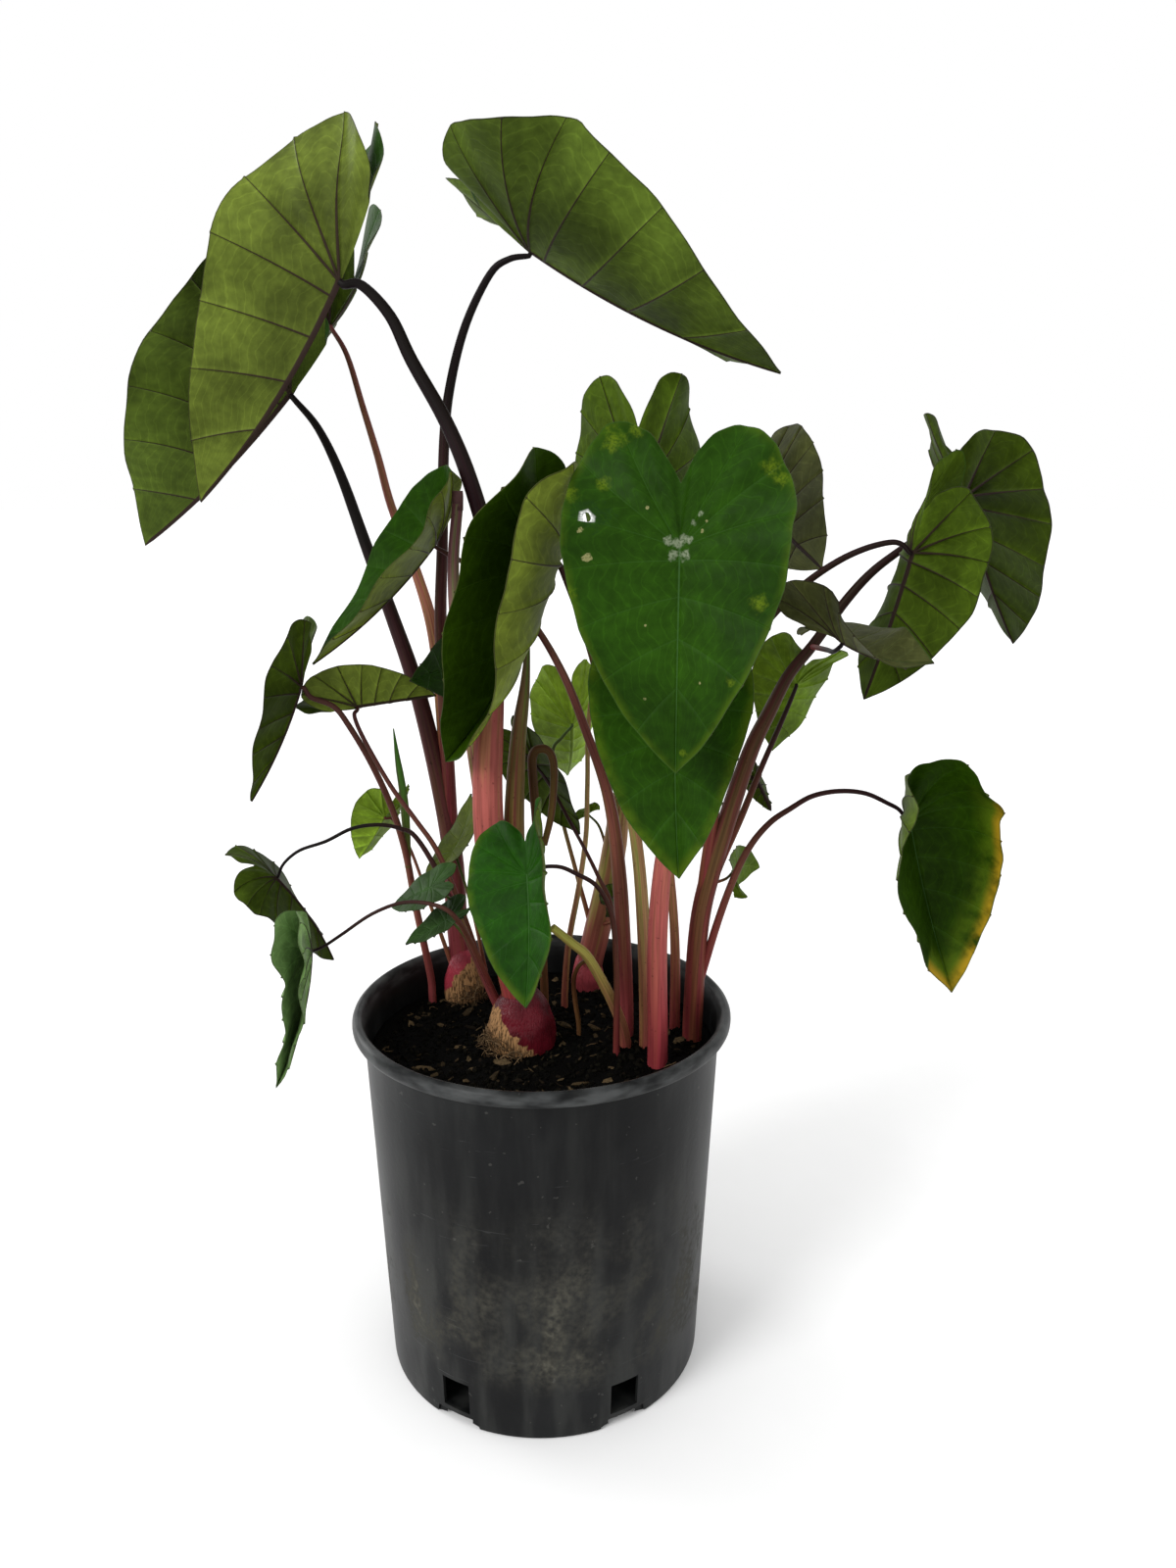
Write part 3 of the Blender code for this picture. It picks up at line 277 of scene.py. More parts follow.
# Stem routes run from the leaf joint down to the soil, in millimetres
STEM_UPPER_LEFT = ((-103, 20, 698), (-87, 20, 681), (-75, 18, 656), (-55, 12, 621), (-41, 8, 587),
                   (-31, 12, 546), (-28, 11, 499), (-31, 10, 451), (-34, 8, 407), (-33, 2, 363),
                   (-26, -4, 310), (-16, -5, 255), (-14, -4, 225))
STEM_FAR_LEFT = ((-155, 117, 622), (-140, 112, 591), (-124, 106, 545), (-106, 98, 495), (-90, 89, 448),
                 (-76, 85, 385), (-67, 82, 328), (-65, 79, 280), (-61, 72, 240), (-60, 70, 222))
FRONT_CORM = (-14, -4)
BACK_CORM = (-60, 70)
MID_CORM = (30, 88)
FRONT_CORM_SIZE = (23.5, 264)
BACK_CORM_SIZE = (15, 258)
MID_CORM_SIZE = (12.5, 252)

# Each stem that stands alone: its leaf, its radii from top to foot, and its route below the leaf
SINGLE_STEMS = (
    ("stem_left_thin", "leaf_narrow_left", (1.4, 2.2, 3.0),
     ((-140, -10, 457), (-127, -8, 451), (-119, -2, 437), (-109, 12, 410), (-100, 27, 377),
      (-94, 40, 342), (-90, 52, 297), (-83, 60, 245), (-82, 61, 228), (-82, 61, 212))),
    ("stem_crossing", "leaf_left_folded", (1.2, 2.0, 3.2, 5.0, 5.3),
     ((-58, 35, 541), (-33, 40, 526), (-6, 40, 498), (15, 30, 464), (30, 21, 427), (41, 14, 397),
      (47, 11, 370), (51, 9, 335), (54, 9, 289), (56, 9, 240), (56, 9, 212))),
    ("stem_striped", "leaf_centre_folded", (1.6, 2.6, 3.6, 4.6, 4.6),
     ((17, -20, 531), (30, -7, 494), (47, -2, 431), (61, -3, 365), (67, -5, 298), (69, -7, 240),
      (69, -7, 212))),
    ("stem_arching_front", "leaf_front_low", (1.1, 1.5, 2.4),
     ((1, -56, 362), (13, -48, 360), (23, -40, 353), (35, -32, 343), (43, -27, 328), (47, -25, 310),
      (49, -22, 268), (49, -21, 232), (49, -21, 212))),
    ("stem_dark_low", "leaf_dark_low", (1.0, 1.4, 2.2),
     ((3, 62, 385), (20, 45, 358), (30, 34, 342), (38, 30, 326), (46, 26, 308), (50, 23, 270),
      (50, 22, 235), (50, 22, 212))),
    ("stem_back_thin", "leaf_back_top", (1.4, 1.8, 2.6),
     ((47, 68, 504), (32, 62, 439), (30, 58, 385), (29, 55, 349), (24, 52, 312), (17, 50, 273),
      (14, 50, 235), (14, 50, 212))),
    ("stem_bright_front", "leaf_front_heart", (1.8, 3.0, 4.2, 6.3, 6.7),
     ((83, -74, 547), (88, -42, 530), (90, -20, 490), (89, -20, 440), (83, -28, 392), (77, -30, 356),
      (74, -33, 306), (75, -35, 240), (75, -35, 212))),
    ("stem_lower_heart", "leaf_lower_heart", (1.6, 2.6, 4.0),
     ((78, -40, 455), (72, -20, 440), (74, 0, 400), (84, 14, 340), (89, 18, 286), (90, 18, 235),
      (90, 18, 212))),
)

SHOOT_FRONT = (
    (STEM_UPPER_LEFT, "leaf_upper_left", (2.4, 3.6, 4.6, 5.6, 9.6, 10.4, 10.0)),
    (((-116, 0, 443), (-110, 0, 427), (-96, 5, 397), (-81, 8, 373), (-68, 10, 351), (-54, 10, 313),
      (-38, 8, 262), (-26, 2, 236), (-20, 0, 222)), "leaf_side_left", (1.2, 1.7, 2.6)),
    (((-161, -20, 353), (-151, -18, 361), (-135, -15, 366), (-119, -10, 373), (-103, -5, 374),
      (-90, 0, 370), (-81, 2, 364), (-68, 4, 340), (-52, 6, 298), (-34, 4, 252), (-20, -2, 225)),
     "leaf_low_left", (0.9, 1.3, 2.4)),
    (((-132, -49, 309), (-121, -47, 316), (-102, -46, 329), (-83, -45, 336), (-64, -51, 337),
      (-51, -54, 331), (-42, -34, 303), (-33, 0, 258), (-20, -2, 228)), "leaf_hanging_left",
     (0.9, 1.2, 2.2)),
    (((-61, -22, 334), (-54, -10, 318), (-43, 4, 280)), "leaf_young_left", (0.8, 1.0, 1.4)),
    (((-53, -27, 314), (-45, -16, 296), (-34, -3, 262)), "leaf_young_low", (0.8, 1.0, 1.4)),
    (((-58, 40, 333), (-48, 28, 304), (-38, 8, 268)), "leaf_young_upright", (0.8, 1.0, 1.4)),
    (((-7, 20, 497), (-10, 20, 459), (-15, 18, 421), (-18, 12, 363), (-16, 6, 305), (-13, 0, 256),
      (-13, -2, 230)), None, (0.8, 4.5, 7.0, 7.5, 7.5)),
    (STUMP_ROUTE,
     None, (3.4, 3.8, 4.4)),
)
SHOOT_BACK_LEFT = (
    (STEM_FAR_LEFT, "leaf_far_left", (2.0, 3.8, 5.8, 7.8, 8.0)),
    (((-144, 176, 675), (-132, 163, 639), (-120, 148, 604), (-109, 132, 569), (-90, 112, 524),
      (-77, 97, 481), (-71, 88, 420), (-68, 82, 340)), "leaf_behind_upper", (1.6, 3.0, 6.0)),
    (((-18, 52, 718), (-30, 55, 710), (-46, 60, 682), (-57, 65, 648), (-63, 70, 612), (-67, 75, 543),
      (-70, 78, 490), (-69, 82, 421), (-67, 82, 335)), "leaf_upper_right", (1.6, 3.2, 5.0)),
    (((-105, 66, 356), (-94, 67, 333), (-82, 69, 292), (-70, 72, 250), (-63, 70, 228)),
     "leaf_pale_left", (0.9, 1.2, 2.0)),
    (((-64, 66, 462), (-74, 84, 446)), "leaf_behind_left", (1.0, 1.4, 1.8)),
)
SHOOT_MID_BACK = (
    (((118, 55, 506), (91, 70, 437), (58, 84, 378), (50, 88, 333), (46, 90, 307), (38, 90, 269),
      (31, 88, 238), (30, 88, 222)), "leaf_back_right", (1.6, 5.0, 8.6, 9.8, 9.5)),
    (((12, 94, 410), (5, 96, 398), (9, 98, 360), (22, 95, 308), (33, 90, 264), (32, 88, 240)),
     "leaf_pale_centre", (1.0, 1.4, 2.2)),
    (((39, 94, 343), (46, 90, 320)), "leaf_small_back", (0.8, 1.0, 1.2)),
    (((53, 63, 290), (50, 72, 280), (40, 84, 272)), "leaf_small_dark", (0.8, 1.0, 1.4)),
)
SHOOT_RIGHT = (
    (((256, 30, 569), (240, 29, 554), (228, 28, 545), (210, 27, 531), (194, 26, 513), (174, 24, 485),
      (159, 22, 466), (147, 20, 442), (136, 18, 418), (123, 14, 378), (112, 10, 341), (104, 7, 301),
      (101, 4, 240), (101, 4, 212)), "leaf_far_right", (1.6, 2.6, 3.8, 6.4, 6.7)),
    (((215, -20, 550), (208, -18, 551), (194, -15, 547), (179, -10, 539), (162, -5, 526), (146, 0, 509),
      (134, 5, 491), (124, 8, 458), (117, 10, 420), (112, 10, 377), (107, 8, 338), (104, 7, 300)),
     "leaf_right", (1.4, 2.4, 4.0)),
    (((173, -44, 490), (175, -14, 487), (173, 24, 484)), "leaf_curled", (1.3, 1.5, 1.8)),
    (((165, 46, 445), (157, 40, 428), (144, 30, 401), (132, 22, 373), (119, 14, 346), (110, 9, 325)),
     "leaf_pale_right", (1.2, 2.0, 3.2)),
    (((224, -20, 388), (217, -20, 392), (203, -18, 398), (187, -16, 399), (171, -13, 395),
      (158, -10, 386), (146, -7, 376), (135, -3, 360), (126, 0, 339), (116, 3, 306), (105, 5, 262)),
     "leaf_yellow_edge", (1.2, 1.7, 2.8)),
    (((123, 24, 328), (112, 11, 329)), "leaf_small_round", (0.8, 1.0, 1.2)),
    (((143, 36, 391), (139, 27, 388)), "leaf_small_tip", (0.7, 0.8, 1.0)),
)
WITHERED_ROUTE = ((1, 30, 350), (6, 30, 372), (8, 30, 399), (6, 30, 412), (0, 30, 416), (-6, 31, 411),
                  (-6, 33, 392), (-4, 34, 358), (-2, 35, 301), (0, 36, 240), (0, 36, 212))
WITHERED_RADII = (2.2, 3.2, 2.8)
YELLOW_ROUTE = ((8, -30, 314), (20, -26, 302), (30, -22, 291), (43, -15, 264), (52, -10, 240),
                (55, -8, 225), (55, -8, 212))
YELLOW_RADII = (2.6, 3.6, 4.2)
LOOP_ROUTE = ((32, -21, 289), (25, -14, 282), (21, -6, 268), (22, 2, 248), (24, 8, 230), (24, 8, 212))
LOOP_RADII = (1.2, 1.6, 1.6)
SPEAR_ROUTE = ((-99, 42, 427), (-97, 42, 406), (-94, 41, 382), (-93, 41, 361), (-93, 43, 330))
SPEAR_RADII = (0.4, 2.4, 3.0, 2.2)


def leaf_named(name):
    return next(blade for blade in LEAVES if blade.name == name)


def stem_top(name, radius, below):
    """Middle of a stem's end, set so that its edge lies a small gap under its leaf's joint."""
    blade = leaf_named(name)
    joint = Vector(blade.joint)
    normal = blade.away_from_stem()
    run = (Vector(below) - joint).normalized()
    slant = math.sqrt(max(0.0, 1 - run.dot(normal) ** 2))
    return tuple(joint - normal * (RIB + JOINT_GAP + radius * slant))


# Colours down a stem, from its leaf to its foot
PALETTES = {
    "pink": ((0.006, 0.003, 0.004), (0.007, 0.003, 0.004), (0.018, 0.006, 0.008), (0.150, 0.036, 0.032),
             (0.330, 0.085, 0.070), (0.280, 0.056, 0.048), (0.180, 0.022, 0.026)),
    "dusk": ((0.006, 0.003, 0.004), (0.008, 0.004, 0.005), (0.045, 0.014, 0.015), (0.130, 0.036, 0.034),
             (0.230, 0.030, 0.042)),
    "wine": ((0.011, 0.005, 0.006), (0.036, 0.011, 0.011), (0.125, 0.036, 0.026), (0.190, 0.026, 0.030)),
    "rose": ((0.100, 0.024, 0.026), (0.200, 0.056, 0.046), (0.320, 0.115, 0.072), (0.250, 0.034, 0.042)),
    "thin": ((0.045, 0.014, 0.014), (0.110, 0.032, 0.028), (0.190, 0.062, 0.042), (0.270, 0.045, 0.055)),
    "flame": ((0.190, 0.070, 0.048), (0.340, 0.112, 0.085), (0.350, 0.088, 0.075), (0.290, 0.030, 0.044)),
    "stripe": ((0.030, 0.010, 0.012), (0.200, 0.080, 0.048), (0.330, 0.190, 0.088), (0.300, 0.060, 0.055)),
    "moss": ((0.050, 0.075, 0.018), (0.090, 0.072, 0.026), (0.220, 0.078, 0.046), (0.240, 0.038, 0.042)),
    "sheath": ((0.022, 0.009, 0.009), (0.110, 0.050, 0.026), (0.260, 0.140, 0.062), (0.210, 0.032, 0.040)),
    "straw": ((0.270, 0.230, 0.050), (0.330, 0.230, 0.068), (0.300, 0.120, 0.065), (0.250, 0.036, 0.042)),
    "husk": ((0.110, 0.050, 0.018), (0.060, 0.020, 0.010), (0.130, 0.050, 0.022), (0.150, 0.060, 0.030)),
    "spear": ((0.040, 0.085, 0.016), (0.060, 0.095, 0.022), (0.090, 0.090, 0.028), (0.130, 0.060, 0.030)),
    "stump": ((0.110, 0.042, 0.050), (0.210, 0.095, 0.098), (0.240, 0.088, 0.078), (0.250, 0.070, 0.060)),
    "roll": ((0.045, 0.050, 0.016), (0.120, 0.040, 0.024), (0.200, 0.058, 0.040), (0.250, 0.042, 0.044)),
}
# Palette and strength of the pale streaks for the stems inside a shoot, by leaf
SHOOT_LOOKS = {
    "leaf_upper_left": ("pink", 0.38), "leaf_far_left": ("dusk", 0.35), "leaf_behind_upper": ("rose", 0.40),
    "leaf_upper_right": ("dusk", 0.30), "leaf_side_left": ("thin", 0.20), "leaf_low_left": ("dusk", 0.30),
    "leaf_hanging_left": ("wine", 0.20), "leaf_young_left": ("moss", 0.30), "leaf_young_low": ("moss", 0.30),
    "leaf_young_upright": ("moss", 0.40), "leaf_pale_left": ("rose", 0.30), "leaf_behind_left": ("dusk", 0.20),
    "leaf_back_right": ("sheath", 0.65), "leaf_pale_centre": ("moss", 0.40), "leaf_small_back": ("moss", 0.40),
    "leaf_small_dark": ("moss", 0.40), "leaf_far_right": ("wine", 0.60), "leaf_right": ("wine", 0.50),
    "leaf_curled": ("dusk", 0.20), "leaf_pale_right": ("wine", 0.30), "leaf_yellow_edge": ("wine", 0.20),
    "leaf_small_round": ("moss", 0.30), "leaf_small_tip": ("moss", 0.30), None: ("roll", 0.75),
}
SINGLE_LOOKS = {
    "stem_left_thin": ("thin", 0.2), "stem_crossing": ("thin", 0.3), "stem_striped": ("stripe", 0.5),
    "stem_arching_front": ("wine", 0.2), "stem_dark_low": ("wine", 0.2), "stem_back_thin": ("stripe", 0.4),
    "stem_bright_front": ("flame", 0.20), "stem_lower_heart": ("rose", 0.4),
}
# Greens of the blades
GREENS = {
    "deep": (0.0110, 0.0365, 0.0016), "night": (0.0100, 0.0270, 0.0006), "dusky": (0.0165, 0.0390, 0.0010), "fresh": (0.0072, 0.0370, 0.0012),
    # Painted light: the bright blue-green after the blue on the next line is a lit copy of it, for the hanging leaf
    # that faces away from the lamps, in place of light shining through the blade.
    "blue": (0.0180, 0.0410, 0.0100), "backlit_blue": (0.1250, 0.2150, 0.0700), "gold": (0.0860, 0.1130, 0.0130),
    "olive": (0.0640, 0.0860, 0.0110), "moss": (0.0470, 0.0730, 0.0080), "fern": (0.0350, 0.0600, 0.0035),
    # Painted backlight: the lime green at the end of the next line and the glowing green after it are brighter than
    # the leaves' own green, in place of light shining through the blade.
    "shade": (0.0210, 0.0350, 0.0018), "umber": (0.0520, 0.0580, 0.0170), "backlit_lime": (0.0630, 0.1080, 0.0060),
    "glow": (0.1200, 0.1950, 0.0140),
}
# Greens of each leaf's upper and lower face
LEAF_GREENS = {
    # Partly painted light: the lower faces of the upper left and far left leaves have their own olive and moss
    # underside greens, also standing in for the light that shines through the blade.
    "leaf_upper_left": ("deep", "olive"), "leaf_far_left": ("deep", "moss"), "leaf_behind_upper": ("blue", "shade"),
    "leaf_upper_right": ("deep", "moss"), "leaf_left_folded": ("deep", "gold"),
    "leaf_centre_folded": ("dusky", "gold"), "leaf_front_heart": ("deep", "olive"),
    "leaf_lower_heart": ("deep", "olive"), "leaf_back_top": ("fern", "fern"), "leaf_back_right": ("umber", "umber"),
    "leaf_curled": ("umber", "umber"), "leaf_right": ("fern", "fern"), "leaf_far_right": ("shade", "shade"),
    "leaf_yellow_edge": ("night", "moss"), "leaf_pale_right": ("backlit_lime", "backlit_lime"), "leaf_small_round": ("backlit_lime", "backlit_lime"),
    "leaf_small_tip": ("shade", "shade"), "leaf_pale_centre": ("glow", "glow"), "leaf_dark_low": ("deep", "shade"),
    "leaf_front_low": ("fresh", "moss"), "leaf_pale_left": ("glow", "glow"), "leaf_narrow_left": ("shade", "shade"),
    "leaf_side_left": ("moss", "olive"), "leaf_low_left": ("shade", "shade"), "leaf_hanging_left": ("backlit_blue", "backlit_blue"),
    "leaf_young_left": ("blue", "blue"), "leaf_young_low": ("blue", "blue"), "leaf_young_upright": ("olive", "olive"),
    "leaf_small_back": ("backlit_lime", "backlit_lime"), "leaf_small_dark": ("deep", "shade"), "leaf_behind_left": ("deep", "shade"),
}
# The greens that are painted backlight; leaves with one of them on the upper face take the backlit finishes.
BACKLIT_GREENS = ("backlit_lime", "glow")
# How far the margin dips in and out, as a share of the leaf's size
PLAIN_WAVES = 0.016
MARGIN_WAVES = {"leaf_yellow_edge": 0.040, "leaf_front_heart": 0.026, "leaf_lower_heart": 0.020}
# Yellow rims: sides, first spoke, width in mm and strength
YELLOW_RIMS = {
    "leaf_yellow_edge": ((-1,), 3.8, 22.0, 1.0), "leaf_lower_heart": ((-1, 1), 3.0, 7.0, 0.60),
    "leaf_front_low": ((-1, 1), 3.0, 5.0, 0.60), "leaf_front_heart": ((-1, 1), 2.0, 4.0, 0.45),
}
# Places on the front leaf: side, spoke, reach and size in mm
FRONT_HOLE = (1, 5.6, 0.78, 2.7)
TAN_SCARS = ((1, 6.0, 0.82, 1.7), (1, 6.6, 0.78, 2.6), (-1, 4.4, 0.28, 1.0), (-1, 4.9, 0.22, 0.9),
             (1, 3.8, 0.36, 0.8), (1, 9.4, 0.60, 0.8), (1, 8.2, 0.35, 0.7), (-1, 9.2, 0.45, 0.7))
PALE_SCARS = ((1, 2.8, 0.04, 2.2), (-1, 3.0, 0.07, 2.4), (-1, 3.2, 0.20, 1.5), (-1, 3.4, 0.28, 1.3),
              (1, 6.5, 0.06, 2.2), (-1, 6.5, 0.05, 2.2), (1, 5.0, 0.10, 2.0), (-1, 4.8, 0.10, 1.6))
YELLOW_MARKS = ((-1, 4.4, 0.88, 3.4), (-1, 4.8, 0.93, 3.0), (1, 7.2, 1.0, 3.0), (-1, 7.5, 0.80, 3.0),
                (-1, 8.8, 0.84, 2.0), (-1, 10.5, 0.60, 1.6), (1, 3.4, 0.88, 4.4), (1, 2.4, 0.95, 3.4),
                (1, 4.5, 0.74, 3.0), (1, 5.2, 0.96, 3.4))
DARK_HALO = (1, 5.5, 0.74, 7.5)


# Node helpers

def node(tree, kind, inputs=None, **settings):
    made = tree.nodes.new(kind)
    for key, value in settings.items():
        setattr(made, key, value)
    for key, value in (inputs or {}).items():
        if isinstance(value, bpy.types.NodeSocket):
            tree.links.new(value, made.inputs[key])
        else:
            made.inputs[key].default_value = value
    return made


def mixed(tree, factor, first, second):
    return node(tree, "ShaderNodeMix", {0: factor, 6: first, 7: second}, data_type="RGBA").outputs[2]


def ranged(tree, value, low, high, start=0.0, end=1.0):
    return node(tree, "ShaderNodeMapRange", {0: value, 1: low, 2: high, 3: start, 4: end},
                interpolation_type="SMOOTHSTEP").outputs[0]


def maths(tree, operation, first, second=0.0):
    return node(tree, "ShaderNodeMath", {0: first, 1: second}, operation=operation).outputs[0]


def cloud(tree, place, scale, detail=3.0, distortion=0.0):
    return node(tree, "ShaderNodeTexNoise", {0: place, 2: scale, 3: detail, 8: distortion}).outputs[0]


def attribute(tree, name, output=2):
    return node(tree, "ShaderNodeAttribute", attribute_name=name).outputs[output]


def object_place(tree):
    return node(tree, "ShaderNodeTexCoord").outputs["Object"]


def stretched(tree, place, scale):
    return node(tree, "ShaderNodeMapping", {0: place, 3: scale}).outputs[0]


def bumped(tree, shader, height, distance, strength=1.0):
    bump = node(tree, "ShaderNodeBump", {0: strength, 1: distance, 3: height})
    tree.links.new(bump.outputs[0], shader.inputs["Normal"])


def rgb(colour):
    return (*colour, 1.0)


def finish(name, roughness=0.5, specular=0.5):
    made = bpy.data.materials.new(name)
    made.use_nodes = True
    shader = made.node_tree.nodes["Principled BSDF"]
    shader.inputs["Roughness"].default_value = roughness
    shader.inputs["Specular IOR Level"].default_value = specular
    return made, made.node_tree, shader


# Finishes

def scaled(tree, colour, factor):
    return node(tree, "ShaderNodeVectorMath", {0: colour, "Scale": factor}, operation="SCALE").outputs[0]


def leaf_finish(name, side, vein, margin, widths, strengths, raised, roughness, gloss, marks=()):
    """One face of a leaf: its green in patches, a fine net, veins, a thin margin and any marks.

    widths and strengths are those of the midrib and of the side veins.
    """
    made, tree, shader = finish(name, roughness, gloss)
    place = object_place(tree)
    tint = attribute(tree, side + "_green", 0)
    spread = 0.32 if side == "under" else 0.20
    patches = ranged(tree, cloud(tree, place, 22, 4), 0.32, 0.68, 1 - spread, 1 + spread)
    mottle = ranged(tree, cloud(tree, place, 170, 4), 0.30, 0.72, 0.84, 1.18)
    green = scaled(tree, tint, maths(tree, "MULTIPLY", patches, mottle))
    if side == "under":
        green = scaled(tree, green, ranged(tree, attribute(tree, "edge"), 55.0, 6.0, 0.82, 1.22))
    wander = maths(tree, "MULTIPLY", cloud(tree, place, 90, 2), 1.2)
    phase = maths(tree, "ADD", attribute(tree, "net"), wander)
    wave = maths(tree, "SINE", maths(tree, "MULTIPLY", phase, math.tau))
    line = ranged(tree, wave, 0.80, 1.0)
    green = scaled(tree, green, maths(tree, "ADD", 1.0, maths(tree, "MULTIPLY", line, 0.22)))
    vein_away = attribute(tree, "vein")
    midrib_away = attribute(tree, "midrib")
    near = ranged(tree, maths(tree, "MINIMUM", vein_away, midrib_away), 6.0, 0.5, 1.0, 1.18)
    green = scaled(tree, green, near)
    side_vein = ranged(tree, vein_away, widths[1] * 1.4, widths[1] * 0.6, 0.0, strengths[1])
    midrib = ranged(tree, midrib_away, widths[0] * 1.25, widths[0] * 0.75, 0.0, strengths[0])
    green = mixed(tree, maths(tree, "MAXIMUM", side_vein, midrib), green, rgb(vein))
    blotch = ranged(tree, cloud(tree, place, 75, 5), 0.25, 0.62)
    yellow = attribute(tree, "yellow")
    ripe = mixed(tree, ranged(tree, yellow, 0.55, 0.92), (0.080, 0.130, 0.006, 1), (0.300, 0.190, 0.010, 1))
    green = mixed(tree, maths(tree, "MULTIPLY", yellow, blotch), green, ripe)
    rim = ranged(tree, attribute(tree, "edge"), 0.9, 0.25)
    green = mixed(tree, maths(tree, "MULTIPLY", rim, 0.70), green, rgb(margin))
    for centre, size, colour, strength, soft in marks:
        away = node(tree, "ShaderNodeVectorMath", {0: place, 1: tuple(centre)}, operation="DISTANCE").outputs["Value"]
        ragged = maths(tree, "MULTIPLY", maths(tree, "SUBTRACT", cloud(tree, place, 250, 5), 0.5), size * 3.4)
        spot = ranged(tree, maths(tree, "ADD", away, ragged), size * (1.1 + soft), size * (0.9 - soft))
        spot = maths(tree, "MULTIPLY", spot, ranged(tree, cloud(tree, place, 900, 3), 0.36, 0.56, 0.35, 1.0))
        green = mixed(tree, maths(tree, "MULTIPLY", spot, strength), green, rgb(colour))
    tree.links.new(green, shader.inputs["Base Color"])
    ridge = maths(tree, "MAXIMUM", ranged(tree, vein_away, 2.2, 0.0, 0.0, 0.6), ranged(tree, midrib_away, 1.8, 0.0))
    relief = maths(tree, "ADD", maths(tree, "MULTIPLY", ridge, raised), maths(tree, "MULTIPLY", line, 0.10))
    relief = maths(tree, "ADD", relief, maths(tree, "MULTIPLY", cloud(tree, place, 110, 4), 0.9))
    bumped(tree, shader, relief, 0.8 * MM, 0.7)
    return made


def stem_finish():
    """Smooth skin in the stem's own colours, with soft lengthwise streaks."""
    made, tree, shader = finish("stem_skin", 0.46, 0.07)
    ring = stretched(tree, attribute(tree, "ring", 1), (0.9, 0.9, 1.0))
    along = node(tree, "ShaderNodeCombineXYZ", {2: maths(tree, "MULTIPLY", attribute(tree, "along"), 4.5)})
    lane = node(tree, "ShaderNodeVectorMath", {0: ring, 1: along.outputs[0]}, operation="ADD").outputs[0]
    streak = ranged(tree, cloud(tree, lane, 1.9, 2, 0.2), 0.42, 0.60)
    fine = ranged(tree, cloud(tree, lane, 5.0, 3), 0.32, 0.70, 1.05, 0.62)
    tint = attribute(tree, "tint", 0)
    pale = node(tree, "ShaderNodeVectorMath", {0: tint, 1: (0.92, 2.3, 0.85)}, operation="MULTIPLY").outputs[0]
    skin = mixed(tree, maths(tree, "MULTIPLY", streak, attribute(tree, "streak")), tint, pale)
    skin = scaled(tree, skin, fine)
    speck = ranged(tree, cloud(tree, object_place(tree), 420, 2), 0.66, 0.74, 1.0, 0.6)
    tree.links.new(scaled(tree, skin, speck), shader.inputs["Base Color"])
    bumped(tree, shader, fine, 0.15 * MM, 0.5)
    return made


def pot_finish():
    """Black plastic with a dusty band low down, scuffs, and a rim with wear and a painted highlight."""
    made, tree, shader = finish("pot_plastic_worn", 0.5, POT_GLOSS)
    place = object_place(tree)
    height = node(tree, "ShaderNodeSeparateXYZ", {0: place}).outputs[2]
    band = maths(tree, "MULTIPLY", ranged(tree, height, 0.185, 0.085), ranged(tree, height, 0.028, 0.060))
    blotch = ranged(tree, cloud(tree, stretched(tree, place, (1.6, 1.6, 1)), 17, 6, 0.4), 0.36, 0.72)
    streaks = ranged(tree, cloud(tree, stretched(tree, place, (42, 42, 7)), 1.6, 4), 0.40, 0.72)
    powder = ranged(tree, cloud(tree, place, 260, 6), 0.25, 0.80)
    ground = mixed(tree, ranged(tree, cloud(tree, place, 8, 3), 0.36, 0.66), (0.0022, 0.0024, 0.0026, 1),
                   (0.0075, 0.0080, 0.0084, 1))
    dust = maths(tree, "MULTIPLY", maths(tree, "MULTIPLY", band, blotch), maths(tree, "ADD", powder, 0.15))
    ground = mixed(tree, maths(tree, "MULTIPLY", dust, 0.85), ground, (0.085, 0.081, 0.064, 1))
    low = ranged(tree, height, 0.200, 0.060, 0.25, 0.60)
    ground = mixed(tree, maths(tree, "MULTIPLY", streaks, low), ground, (0.030, 0.031, 0.029, 1))
    scratch = ranged(tree, cloud(tree, stretched(tree, place, (18, 18, 260)), 1.0, 3, 1.4), 0.68, 0.74)
    ground = mixed(tree, maths(tree, "MULTIPLY", scratch, 0.25), ground, (0.060, 0.062, 0.062, 1))
    fleck = ranged(tree, cloud(tree, place, 190, 2), 0.715, 0.735)
    ground = mixed(tree, maths(tree, "MULTIPLY", fleck, 0.2), ground, (0.110, 0.108, 0.098, 1))
    # Painted highlight and wear: the streaky grey on the rolled rim stands for its sheen as well as its wear.
    rim_wear_and_sheen = maths(tree, "MULTIPLY", ranged(tree, height, 0.2380, 0.2430),
                 ranged(tree, cloud(tree, stretched(tree, place, (45, 45, 160)), 1.0, 3), 0.30, 0.75))
    ground = mixed(tree, maths(tree, "MULTIPLY", rim_wear_and_sheen, 0.45), ground, (0.105, 0.110, 0.110, 1))
    scuff = node(tree, "ShaderNodeVectorMath", {0: stretched(tree, place, (1, 1, 0.55)), 1: (-0.1105, -0.020, 0.089)},
                 operation="DISTANCE").outputs["Value"]
    scuff = maths(tree, "MULTIPLY", ranged(tree, scuff, 0.020, 0.008),
                  ranged(tree, cloud(tree, stretched(tree, place, (60, 60, 22)), 3.0, 4), 0.42, 0.56))
    ground = mixed(tree, scuff, ground, (0.190, 0.190, 0.175, 1))
    tree.links.new(ground, shader.inputs["Base Color"])
    tree.links.new(ranged(tree, dust, 0.0, 0.6, 0.40, 0.85), shader.inputs["Roughness"])
    relief = maths(tree, "ADD", maths(tree, "MULTIPLY", powder, 0.4), maths(tree, "MULTIPLY", scratch, -0.8))
    bumped(tree, shader, relief, 0.15 * MM, 0.5)
    return made


